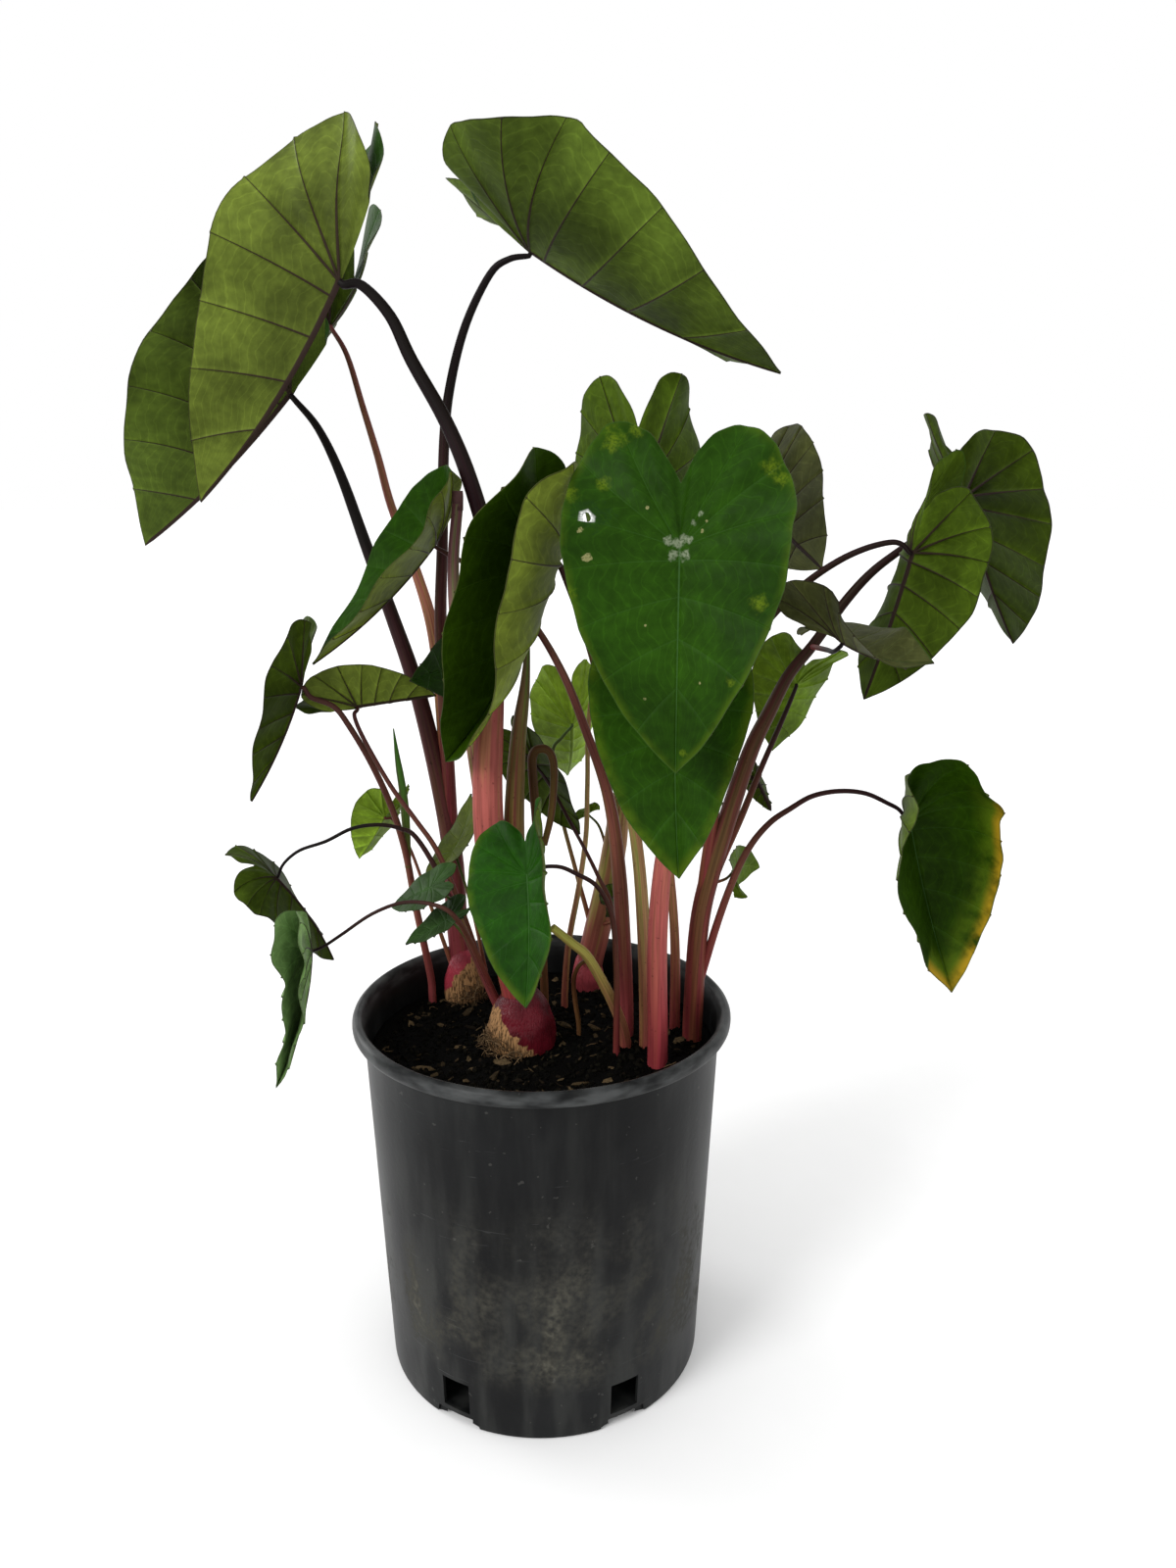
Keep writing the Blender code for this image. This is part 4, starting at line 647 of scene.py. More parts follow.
def earth_finish(name, dark, light, roughness=0.92):
    """Soil, bark or fibre, with each piece a shade of its own and few of them light."""
    made, tree, shader = finish(name, roughness, 0.04)
    place = object_place(tree)
    share = maths(tree, "POWER", attribute(tree, "shade"), 2.5)
    ground = mixed(tree, share, rgb(dark), rgb(light))
    grain = ranged(tree, cloud(tree, place, 520, 4), 0.38, 0.70, 1.0, 0.45)
    tree.links.new(scaled(tree, ground, grain), shader.inputs["Base Color"])
    bumped(tree, shader, cloud(tree, place, 700, 4), 0.6 * MM, 0.8)
    return made


def corm_finish(name, red, husk, centre, lean, reach):
    """Wine red corm with a tan husk that runs aslant over its foot and one side.

    lean is the side that the husk climbs and reach its height over the soil at the middle, in mm.
    """
    made, tree, shader = finish(name, 0.40, 0.12)
    place = object_place(tree)
    split = node(tree, "ShaderNodeSeparateXYZ", {0: place})
    across = maths(tree, "MULTIPLY", maths(tree, "SUBTRACT", split.outputs[0], centre[0] * MM), lean)
    climb = maths(tree, "ADD", maths(tree, "SUBTRACT", split.outputs[2], SOIL_TOP), across)
    ragged = maths(tree, "MULTIPLY", maths(tree, "SUBTRACT", cloud(tree, place, 130, 4), 0.5), 0.030)
    husked = ranged(tree, maths(tree, "ADD", climb, ragged), (reach + 1.0) * MM, (reach - 1.0) * MM)
    skin = scaled(tree, rgb(red)[:3], ranged(tree, cloud(tree, place, 60, 3), 0.35, 0.68, 1.25, 0.6))
    threads = ranged(tree, cloud(tree, stretched(tree, place, (900, 900, 90)), 1.0, 3), 0.42, 0.66, 1.25, 0.3)
    coat = scaled(tree, rgb(husk)[:3], threads)
    tree.links.new(mixed(tree, husked, skin, coat), shader.inputs["Base Color"])
    tree.links.new(ranged(tree, husked, 0, 1, 0.35, 0.9), shader.inputs["Roughness"])
    bumped(tree, shader, threads, 0.5 * MM, 0.7)
    return made


def plain_finish(name, colour, roughness):
    made, tree, shader = finish(name, roughness, 0.3)
    grain = ranged(tree, cloud(tree, object_place(tree), 30, 4), 0.3, 0.7)
    ground = mixed(tree, maths(tree, "MULTIPLY", grain, 0.06), rgb(colour), tuple(0.9 * c for c in colour) + (1,))
    tree.links.new(ground, shader.inputs["Base Color"])
    return made


# Mesh helpers

def new_object(name, mesh):
    made = bpy.data.objects.new(name, mesh)
    bpy.context.scene.collection.objects.link(made)
    return made


def object_from(name, bm):
    mesh = bpy.data.meshes.new(name)
    bm.to_mesh(mesh)
    bm.free()
    return new_object(name, mesh)


def settled(obj, sharp=None):
    """The object as one plain mesh with its modifiers worked in."""
    bpy.context.view_layer.update()
    graph = bpy.context.evaluated_depsgraph_get()
    mesh = bpy.data.meshes.new_from_object(obj.evaluated_get(graph))
    obj.modifiers.clear()
    old = obj.data
    obj.data = mesh
    bpy.data.meshes.remove(old)
    mesh.shade_smooth()
    if sharp:
        mesh.set_sharp_from_angle(angle=math.radians(sharp))
    return obj


def placed(obj, slot, *nodes):
    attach(obj, "root")
    if nodes:
        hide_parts(*nodes)


# Leaves

RINGS = (0, 0.012, 0.03, 0.06, 0.11, 0.18, 0.26, 0.35, 0.44, 0.53, 0.62, 0.71, 0.79, 0.86, 0.92, 0.965, 1)
SMALL_RINGS = (0, 0.03, 0.08, 0.18, 0.32, 0.48, 0.64, 0.80, 0.93, 1)


def vein_distance(blade, spoke, reach):
    """Distances to the midrib and to the nearest side vein, each in its own half widths."""
    x, y = blade.flat(spoke, reach)
    size = math.sqrt(blade.length / 120)
    midrib = (abs(x) if y > 0 else math.hypot(x, y)) * blade.length / (size * (1.5 - max(0, y)))
    nearest = 30.0
    for vein in VEIN_SPOKES:
        if abs(vein - spoke) < 1.6:
            vx, vy = blade.flat(vein, reach)
            width = size * (1.0 - 0.65 * reach)
            nearest = min(nearest, math.hypot(x - vx, y - vy) * blade.length / width)
    return midrib, nearest


def yellow_share(blade, side, spoke, inward):
    """How yellow the rim is at a place that lies the given way in from the edge."""
    sides, first, width, strength = YELLOW_RIMS.get(blade.name, ((), 0, 1, 0))
    if side not in sides and spoke < 9.6:
        return 0.0
    return strength * max(0.0, 1 - inward / width) * min(1.0, max(0.0, (spoke - first) / 1.5))


def margin_dip(blade, side, spoke):
    """Share of the full reach that the waved margin has at a spoke."""
    depth = MARGIN_WAVES.get(blade.name, PLAIN_WAVES)
    wave = math.sin(3.9 * spoke + side * 1.3 + blade.phase) + 0.5 * math.sin(8.3 * spoke + 2.1 * blade.phase)
    fade = min(1.0, spoke / 1.5, (11 - spoke) / 1.5)
    return 1 - depth * fade * (0.5 + wave / 3)


def blade_mesh(blade, edge_width):
    """The sheet of a leaf on a fine grid, with what its finish needs stored at each point."""
    large = blade.length > 60
    step = 6 if large else 3
    spokes = {index / step for index in range(11 * step + 1)}
    spokes |= {vein + shift for vein in VEIN_SPOKES for shift in (-0.06, 0.0, 0.06)}
    spokes = sorted(spokes)
    rings = RINGS if large else SMALL_RINGS
    bm = bmesh.new()
    weights = bm.verts.layers.deform.verify()
    layers = {name: bm.verts.layers.float.new(name) for name in ("vein", "midrib", "edge", "net", "yellow")}
    upper_green, lower_green = [(*GREENS[tone], 1) for tone in LEAF_GREENS[blade.name]]
    top_layer = bm.verts.layers.float_color.new("top_green")
    under_layer = bm.verts.layers.float_color.new("under_green")
    for side in (-1, 1):
        rows = []
        for spoke in spokes:
            row = []
            root = between(SPOKE_ROOT, spoke)
            edge = blade.flat(spoke, 1)
            span = math.hypot(edge[0], edge[1] - root) * blade.length
            nearest = min(abs(spoke - vein) for vein in VEIN_SPOKES)
            dip = 1 - margin_dip(blade, side, spoke)
            for reach in rings:
                vert = bm.verts.new(blade.point(side, spoke, reach * (1 - dip * reach ** 2)))
                midrib, vein = vein_distance(blade, spoke, reach)
                swell = math.exp(-min(midrib / 1.2, vein) ** 2)
                vert[weights][0] = (edge_width + (RIB - edge_width) * swell) / RIB
                vert[layers["vein"]] = vein
                vert[layers["midrib"]] = midrib
                vert[layers["edge"]] = (1 - reach) * span
                vert[layers["net"]] = reach * blade.length / 15 - 2.2 * min(1, nearest)
                vert[layers["yellow"]] = yellow_share(blade, side, spoke, (1 - reach) * span)
                vert[top_layer] = upper_green
                vert[under_layer] = lower_green
                row.append(vert)
            rows.append(row)
        for near, far in zip(rows, rows[1:]):
            for index in range(len(rings) - 1):
                corners = (near[index], near[index + 1], far[index + 1], far[index])
                bm.faces.new(corners if side > 0 else corners[::-1])
    bmesh.ops.remove_doubles(bm, verts=bm.verts[:], dist=1e-6)
    bmesh.ops.dissolve_degenerate(bm, edges=bm.edges[:], dist=1e-6)
    bmesh.ops.recalc_face_normals(bm, faces=bm.faces[:])
    upper = blade.away_from_stem()
    if sum(face.normal.dot(upper) * face.calc_area() for face in bm.faces) < 0:
        bmesh.ops.reverse_faces(bm, faces=bm.faces[:])
    return bm


def make_leaf(blade, top, under, look):
    obj = object_from(blade.name + "_blade", blade_mesh(blade, look.blade_edge))
    obj.vertex_groups.new(name="ribs")
    solid = obj.modifiers.new("Thickness", "SOLIDIFY")
    solid.thickness = RIB * MM
    solid.offset = -1
    solid.vertex_group = "ribs"
    obj.data.materials.append(top)
    obj.data.materials.append(under)
    solid.material_offset = 1
    solid.material_offset_rim = 1
    settled(obj, 55)
    return obj


def pierce(obj, blade, side, spoke, reach, size):
    """A ragged hole through the blade."""
    bm = bmesh.new()
    bmesh.ops.create_cone(bm, cap_ends=True, segments=14, radius1=size * MM, radius2=size * MM, depth=0.03)
    for vert in bm.verts:
        swell = 1 + 0.35 * noise.noise(Vector((vert.co.x * 400, vert.co.y * 400, 5)))
        vert.co.x *= swell * 0.8
        vert.co.y *= swell * 1.1
    cutter = object_from("hole_cutter", bm)
    normal = (blade.point(side, spoke, reach) - blade.point(side, spoke + 0.1, reach)).cross(
        blade.point(side, spoke, reach) - blade.point(side, spoke, reach - 0.05))
    cutter.rotation_mode = "QUATERNION"
    cutter.rotation_quaternion = normal.to_track_quat("Z", "Y")
    cutter.location = blade.point(side, spoke, reach)
    cut = obj.modifiers.new("Hole", "BOOLEAN")
    cut.operation = "DIFFERENCE"
    cut.solver = "EXACT"
    cut.object = cutter
    settled(obj, 55)
    bpy.data.objects.remove(cutter)


# Stems

def route(points, steps):
    spans = (len(points) - 1) * steps
    return [smooth_point(points, index / steps) * MM for index in range(spans + 1)]


def stem_line(bm, layers, points, radii, palette, streak, leaf=None):
    """One stem as a line of points that carry its radius and colours."""
    if leaf:
        points = (stem_top(leaf, radii[0], points[0]),) + tuple(points)
    run = route(points, 6)
    colours = [Vector(colour) for colour in PALETTES[palette]]
    thick = [between(radii, index / (len(run) - 1) * (len(radii) - 1)) * MM for index in range(len(run))]
    if leaf:
        run.insert(0, Vector(leaf_named(leaf).joint) * MM - leaf_named(leaf).away_from_stem() * 0.5 * MM)
        thick.insert(0, thick[0] * 0.9)
    lengths = [0.0]
    for start, end in zip(run, run[1:]):
        lengths.append(lengths[-1] + (end - start).length)
    last = None
    for place, radius, length in zip(run, thick, lengths):
        vert = bm.verts.new(place)
        share = length / lengths[-1] * (len(colours) - 1)
        vert[layers["radius"]] = radius
        vert[layers["along"]] = length
        vert[layers["streak"]] = streak
        vert[layers["tint"]] = (*between(colours, share), 1)
        if last:
            bm.edges.new((last, vert))
        last = vert


def stem_tree():
    """Geometry nodes that sweep a round section along each line, as thick as its points say."""
    tree = bpy.data.node_groups.new("Stem along its line", "GeometryNodeTree")
    face = tree.interface
    face.new_socket("Line", in_out="INPUT", socket_type="NodeSocketGeometry")
    face.new_socket("Sides", in_out="INPUT", socket_type="NodeSocketInt").default_value = 14
    face.new_socket("Finish", in_out="INPUT", socket_type="NodeSocketMaterial")
    face.new_socket("Stem", in_out="OUTPUT", socket_type="NodeSocketGeometry")
    start = node(tree, "NodeGroupInput")
    curve = node(tree, "GeometryNodeMeshToCurve", {0: start.outputs[0]})
    radius = node(tree, "GeometryNodeInputNamedAttribute", {0: "radius"}, data_type="FLOAT")
    section = node(tree, "GeometryNodeCurvePrimitiveCircle", {"Radius": 1.0, "Resolution": start.outputs[1]})
    place = node(tree, "GeometryNodeInputPosition")
    kept = node(tree, "GeometryNodeStoreNamedAttribute", {0: section.outputs[0], 2: "ring"}, data_type="FLOAT_VECTOR")
    tree.links.new(place.outputs[0], kept.inputs[3])
    sweep = node(tree, "GeometryNodeCurveToMesh", {0: curve.outputs[0], 1: kept.outputs[0],
                                                  2: radius.outputs[0], 3: True})
    real = node(tree, "GeometryNodeRealizeInstances", {0: sweep.outputs[0]})
    coat = node(tree, "GeometryNodeSetMaterial", {0: real.outputs[0], 2: start.outputs[2]})
    end = node(tree, "NodeGroupOutput")
    tree.links.new(coat.outputs[0], end.inputs[0])
    return tree


def node_modifier(obj, tree, values):
    """A geometry nodes modifier with its inputs set by name."""
    modifier = obj.modifiers.new(tree.name, "NODES")
    modifier.node_group = tree
    sockets = {item.name: item.identifier for item in tree.interface.items_tree if item.in_out == "INPUT"}
    for name, value in values.items():
        modifier[sockets[name]] = value
    return modifier


def line_layers(bm):
    layers = {name: bm.verts.layers.float.new(name) for name in ("radius", "along", "streak")}
    layers["tint"] = bm.verts.layers.float_color.new("tint")
    return layers


def make_stem(name, lines, tree, skin, sides):
    """All the stems of one node as one piece. Each line is points, radii, palette, streak and leaf."""
    bm = bmesh.new()
    layers = line_layers(bm)
    for points, radii, palette, streak, leaf in lines:
        stem_line(bm, layers, points, radii, palette, streak, leaf)
    obj = object_from(name + "_stems", bm)
    node_modifier(obj, tree, {"Sides": sides, "Finish": skin})
    settled(obj, 60)
    return obj


def corm_profile(radius, top):
    low = SOIL_TOP - ROOT_DEPTH
    return (
        (0.90 * radius, low + 0.35 * ROOT_DEPTH),
        (radius, SOIL_TOP + 0.10 * (top - SOIL_TOP)),
        (0.96 * radius, SOIL_TOP + 0.35 * (top - SOIL_TOP)),
        (0.78 * radius, SOIL_TOP + 0.65 * (top - SOIL_TOP)),
        (0.52 * radius, SOIL_TOP + 0.88 * (top - SOIL_TOP)),
        (0.30 * radius, top),
    )


def lathe(name, profile, steps=64, centre=(0, 0), closed=False):
    """A shape turned about an upright line. An open profile gets a point at each end on that line."""
    bm = bmesh.new()
    rings = [[bm.verts.new((centre[0] + radius * math.cos(math.tau * step / steps),
                            centre[1] + radius * math.sin(math.tau * step / steps), height))
              for step in range(steps)] for radius, height in profile]
    pairs = list(zip(rings, rings[1:])) + ([(rings[-1], rings[0])] if closed else [])
    for lower, upper in pairs:
        for step in range(steps):
            after = (step + 1) % steps
            bm.faces.new((lower[step], lower[after], upper[after], upper[step]))
    if not closed:
        bm.faces.new(rings[0])
        bm.faces.new(rings[-1])
    bmesh.ops.recalc_face_normals(bm, faces=bm.faces[:])
    return object_from(name, bm)


def make_corm(name, centre, size, finish_made, seed):
    """A lumpy corm with faint rings where old leaves grew."""
    radius, top = size[0] * MM, size[1] * MM
    points = corm_profile(radius, top)
    count = 26
    profile = [tuple(smooth_point(points, index / (count - 1) * (len(points) - 1))) for index in range(count)]
    obj = lathe(name, profile, 48, (centre[0] * MM, centre[1] * MM))
    for vert in obj.data.vertices:
        out = Vector((vert.co.x - centre[0] * MM, vert.co.y - centre[1] * MM, 0))
        lump = noise.noise(Vector((vert.co.x * 120, vert.co.y * 120, vert.co.z * 90 + seed)))
        scar = math.sin(vert.co.z * 1400 + lump * 4)
        vert.co += out.normalized() * (lump * 1.0 * MM + scar * 0.08 * MM - 0.5 * MM)
    obj.data.materials.append(finish_made)
    obj.data.shade_smooth()
    return obj


# Soil

def soil_height(x, y):
    coarse = noise.noise(Vector((x * 45, y * 45, 3.1)))
    fine = noise.noise(Vector((x * 130, y * 130, 7.7)))
    edge = min(1.0, max(0.0, (0.112 - math.hypot(x, y)) / 0.012))
    return SOIL_TOP + SOIL_LUMP * edge * (0.7 * coarse + 0.5 * fine)


def soil_bed(name, radius, depth):
    """The crumbly top of the soil, with a wall and a foot when it has a depth."""
    rings, steps = 44, 132
    bm = bmesh.new()
    rows = []
    for ring in range(1, rings + 1):
        row = []
        for step in range(steps):
            turn = math.tau * step / steps
            x, y = radius * ring / rings * math.cos(turn), radius * ring / rings * math.sin(turn)
            crumb = noise.noise(Vector((x * 420, y * 420, 1.5))) + 0.6 * noise.noise(Vector((x * 900, y * 900, 9)))
            edge = 1 if ring < rings else 0
            row.append(bm.verts.new((x, y, soil_height(x, y) + 0.9 * MM * crumb * edge)))
        rows.append(row)
    middle = bm.verts.new((0, 0, soil_height(0, 0)))
    if depth:
        rows.append([bm.verts.new((v.co.x * 0.97, v.co.y * 0.97, SOIL_TOP - depth)) for v in rows[-1]])
    for inner, outer in zip(rows, rows[1:]):
        for step in range(steps):
            after = (step + 1) % steps
            bm.faces.new((inner[step], outer[step], outer[after], inner[after]))
    for step in range(steps):
        bm.faces.new((middle, rows[0][step], rows[0][(step + 1) % steps]))
    if depth:
        bm.faces.new(rows[-1])
    bmesh.ops.recalc_face_normals(bm, faces=bm.faces[:])
    if not depth and bm.faces[0].normal.z < 0:
        bmesh.ops.reverse_faces(bm, faces=bm.faces[:])
    return object_from(name, bm)


def husk_skirt(name, centre, radius, turn):
    """A low curved strip round the foot of a corm, on the side that its husk climbs."""
    bm = bmesh.new()
    rows = []
    for index in range(13):
        angle = turn + math.radians(10) * (index - 6)
        out = Vector((math.cos(angle), math.sin(angle), 0))
        middle = Vector((centre[0], centre[1], 0)) * MM
        climb = 14 * MM * math.cos(math.radians(13) * (index - 6))
        rows.append([bm.verts.new(middle + out * radius * MM * spread + Vector((0, 0, SOIL_TOP + lift)))
                     for spread, lift in ((1.20, 1.0 * MM), (1.06, 0.3 * climb), (1.02, climb))])
    for near, far in zip(rows, rows[1:]):
        for index in range(2):
            bm.faces.new((near[index], far[index], far[index + 1], near[index + 1]))
    return object_from(name, bm)


def flake(name, spread, seed):
    """One angular chip or crumb a unit across."""
    bm = bmesh.new()
    bmesh.ops.create_icosphere(bm, subdivisions=1, radius=0.5)
    for vert in bm.verts:
        push = 1 + 0.5 * noise.noise(vert.co * 3 + Vector((seed, seed * 2, 0)))
        vert.co = Vector((vert.co.x * spread[0], vert.co.y * spread[1], vert.co.z * spread[2])) * push
    obj = object_from(name, bm)
    return obj


def thread(name, bend, seed):
    """One curved rootlet or fibre a unit long, with four sides."""
    bm = bmesh.new()
    rows = []
    count = 7
    for index in range(count):
        share = index / (count - 1)
        sway = bend * noise.noise(Vector((share * 1.7 + seed, seed, 0)))
        lift = bend * 0.6 * noise.noise(Vector((share * 2.1, seed, 4)))
        thick = 0.022 * (1.2 - share)
        rows.append([bm.verts.new((share - 0.5, sway + thick * math.cos(turn), lift + thick * math.sin(turn)))
                     for turn in (0, math.pi / 2, math.pi, 1.5 * math.pi)])
    for near, far in zip(rows, rows[1:]):
        for step in range(4):
            bm.faces.new((near[step], near[(step + 1) % 4], far[(step + 1) % 4], far[step]))
    bm.faces.new(rows[0])
    bm.faces.new(rows[-1])
    bmesh.ops.recalc_face_normals(bm, faces=bm.faces[:])
    return object_from(name, bm)


def scatter_tree():
    """Geometry nodes that strew one shape over a surface, each turned, tilted and shaded by its seed."""
    tree = bpy.data.node_groups.new("Strewn pieces", "GeometryNodeTree")
    face = tree.interface
    for name, kind in (("Ground", "Geometry"), ("Shape", "Object"), ("Density", "Float"), ("Smallest", "Float"),
                       ("Largest", "Float"), ("Tilt", "Float"), ("Seed", "Int"), ("Finish", "Material")):
        face.new_socket(name, in_out="INPUT", socket_type="NodeSocket" + kind)
    face.new_socket("Pieces", in_out="OUTPUT", socket_type="NodeSocketGeometry")
    start = node(tree, "NodeGroupInput")
    seed = start.outputs["Seed"]
    points = node(tree, "GeometryNodeDistributePointsOnFaces",
                  {"Mesh": start.outputs["Ground"], "Density": start.outputs["Density"], "Seed": seed})
    shade = node(tree, "FunctionNodeRandomValue", {8: seed}, data_type="FLOAT")
    shaded = node(tree, "GeometryNodeStoreNamedAttribute", {0: points.outputs[0], 2: "shade",
                                                           3: shade.outputs[1]}, data_type="FLOAT")
    shape = node(tree, "GeometryNodeObjectInfo", {0: start.outputs["Shape"]})
    negative = node(tree, "ShaderNodeMath", {0: start.outputs["Tilt"], 1: -1.0}, operation="MULTIPLY")
    least = node(tree, "ShaderNodeCombineXYZ", {0: negative.outputs[0], 1: negative.outputs[0], 2: 0.0})
    most = node(tree, "ShaderNodeCombineXYZ", {0: start.outputs["Tilt"], 1: start.outputs["Tilt"], 2: math.tau})
    turn = node(tree, "FunctionNodeRandomValue", {0: least.outputs[0], 1: most.outputs[0], 8: seed},
                data_type="FLOAT_VECTOR")
    euler = node(tree, "FunctionNodeEulerToRotation", {0: turn.outputs[0]})
    spun = node(tree, "FunctionNodeRotateRotation", {0: points.outputs["Rotation"], 1: euler.outputs[0]},
                rotation_space="LOCAL")
    size = node(tree, "FunctionNodeRandomValue", {2: start.outputs["Smallest"], 3: start.outputs["Largest"],
                                                 8: seed}, data_type="FLOAT")
    strewn = node(tree, "GeometryNodeInstanceOnPoints", {0: shaded.outputs[0], 2: shape.outputs["Geometry"],
                                                        5: spun.outputs[0], 6: size.outputs[1]})
    real = node(tree, "GeometryNodeRealizeInstances", {0: strewn.outputs[0]})
    coat = node(tree, "GeometryNodeSetMaterial", {0: real.outputs[0], 2: start.outputs["Finish"]})
    end = node(tree, "NodeGroupOutput")
    tree.links.new(coat.outputs[0], end.inputs[0])
    return tree


def strewn(name, ground, tree, shape, density, smallest, largest, tilt, seed, coat):
    obj = new_object(name, ground.data.copy())
    node_modifier(obj, tree, {"Shape": shape, "Density": density, "Smallest": smallest * MM,
                              "Largest": largest * MM, "Tilt": tilt, "Seed": seed, "Finish": coat})
    return settled(obj, 40)


# Pot

def wall_radius(height):
    share = height / (POT_HEIGHT - RIM_DEPTH)
    return FOOT_RADIUS + (NECK_RADIUS - FOOT_RADIUS) * share


def pot_profile():
    under = POT_HEIGHT - RIM_DEPTH
    inner = NECK_RADIUS - WALL
    foot_inner = FOOT_RADIUS - WALL
    floor_top = FLOOR_LIFT + FLOOR
    wall = [(wall_radius(under * share), under * share) for share in (0.04, 0.12, 0.3, 0.5, 0.7, 0.9, 0.985)]
    lining = [(wall_radius(height) - WALL, height) for height in (0.2, 0.15, 0.1, 0.05, floor_top)]
    return ([
        (BOSS_RADIUS - 3 * MM, 0),
        (BOSS_RADIUS, 0),
        (BOSS_RADIUS + 2 * MM, FLOOR_LIFT),
        (foot_inner, FLOOR_LIFT),
        (foot_inner, 1 * MM),
        (foot_inner + 0.8 * MM, 0),
        (FOOT_RADIUS - 0.9 * MM, 0),
        (FOOT_RADIUS - 0.2 * MM, 0.5 * MM),
        (FOOT_RADIUS, 1.5 * MM)] + wall + [
        (NECK_RADIUS + 0.4 * MM, under),
        (NECK_RADIUS + 2.5 * MM, under + 0.6 * MM),
        (RIM_RADIUS - 2.6 * MM, under + 1.0 * MM),
        (RIM_RADIUS - 1.0 * MM, under + 1.9 * MM),
        (RIM_RADIUS - 0.2 * MM, under + 3.4 * MM),
        (RIM_RADIUS, under + 5.0 * MM),
        (RIM_RADIUS - 0.1 * MM, under + 7.2 * MM),
        (RIM_RADIUS - 0.8 * MM, under + 9.0 * MM),
        (RIM_RADIUS - 2.0 * MM, under + 10.4 * MM),
        (RIM_RADIUS - 3.6 * MM, POT_HEIGHT),
        (RIM_RADIUS - 5.2 * MM, POT_HEIGHT - 0.5 * MM),
        (RIM_RADIUS - 6.4 * MM, POT_HEIGHT - 1.6 * MM),
        (RIM_RADIUS - 7.2 * MM, POT_HEIGHT - 3.4 * MM),
        (inner + 0.3 * MM, under - 1 * MM),
        (inner - 0.1 * MM, under - 6 * MM)] + lining + [
        (BOSS_RADIUS - 0.5 * MM, floor_top),
        (BOSS_RADIUS - 2.5 * MM, FLOOR)])


def wedge_cutter(name, width_low, width_high, low, high, angle):
    bm = bmesh.new()
    bmesh.ops.create_cube(bm, size=1)
    for vert in bm.verts:
        width = width_low if vert.co.z < 0 else width_high
        vert.co.x *= width
        vert.co.y = -(FOOT_RADIUS - 1.2 * WALL) if vert.co.y > 0 else -(RIM_RADIUS + 5 * MM)
        vert.co.z = low if vert.co.z < 0 else high
    obj = object_from(name, bm)
    obj.rotation_euler.z = angle
    return obj


# Settings and operators

class LeafSettings(bpy.types.PropertyGroup):
    """Thickness, sheen and vein colours of the leaves."""
    blade_edge: FloatProperty(name="Edge thickness", description="Thickness of a blade at its margin, in mm",
                              default=0.45, min=0.2, max=1.0)
    gloss: FloatProperty(name="Sheen", description="Sheen of a leaf's upper face", default=0.035, min=0.0, max=1.0)
    roughness: FloatProperty(name="Roughness", description="Roughness of a leaf's upper face", default=0.46,
                             min=0.1, max=1.0)
    top_vein: FloatVectorProperty(name="Top veins", description="Pale green of the veins above", subtype="COLOR",
                                  size=3, default=(0.032, 0.078, 0.022))
    under_vein: FloatVectorProperty(name="Lower veins", description="Dark purple of the veins below",
                                    subtype="COLOR", size=3, default=(0.020, 0.009, 0.010))


class StemSettings(bpy.types.PropertyGroup):
    """Sizes of the stems and corms."""
    sides: IntProperty(name="Sides", description="Sides of a stem's round section", default=16, min=6, max=32)
    corm_red: FloatVectorProperty(name="Corm red", description="Wine red of the front corm", subtype="COLOR",
                                  size=3, default=(0.085, 0.005, 0.010))
    husk_tan: FloatVectorProperty(name="Husk tan", description="Tan of the fibrous husk", subtype="COLOR",
                                  size=3, default=(0.260, 0.140, 0.060))


class PotSettings(bpy.types.PropertyGroup):
    """Sizes of the pot and of what lies on the soil."""
    steps: IntProperty(name="Steps", description="Steps round the pot", default=160, min=40, max=256)
    chip_density: FloatProperty(name="Bark chips", description="Bark chips on a square metre of soil",
                                default=5200.0, min=0.0, max=40000.0)
    crumb_density: FloatProperty(name="Crumbs", description="Soil crumbs on a square metre of soil",
                                 default=60000.0, min=0.0, max=200000.0)


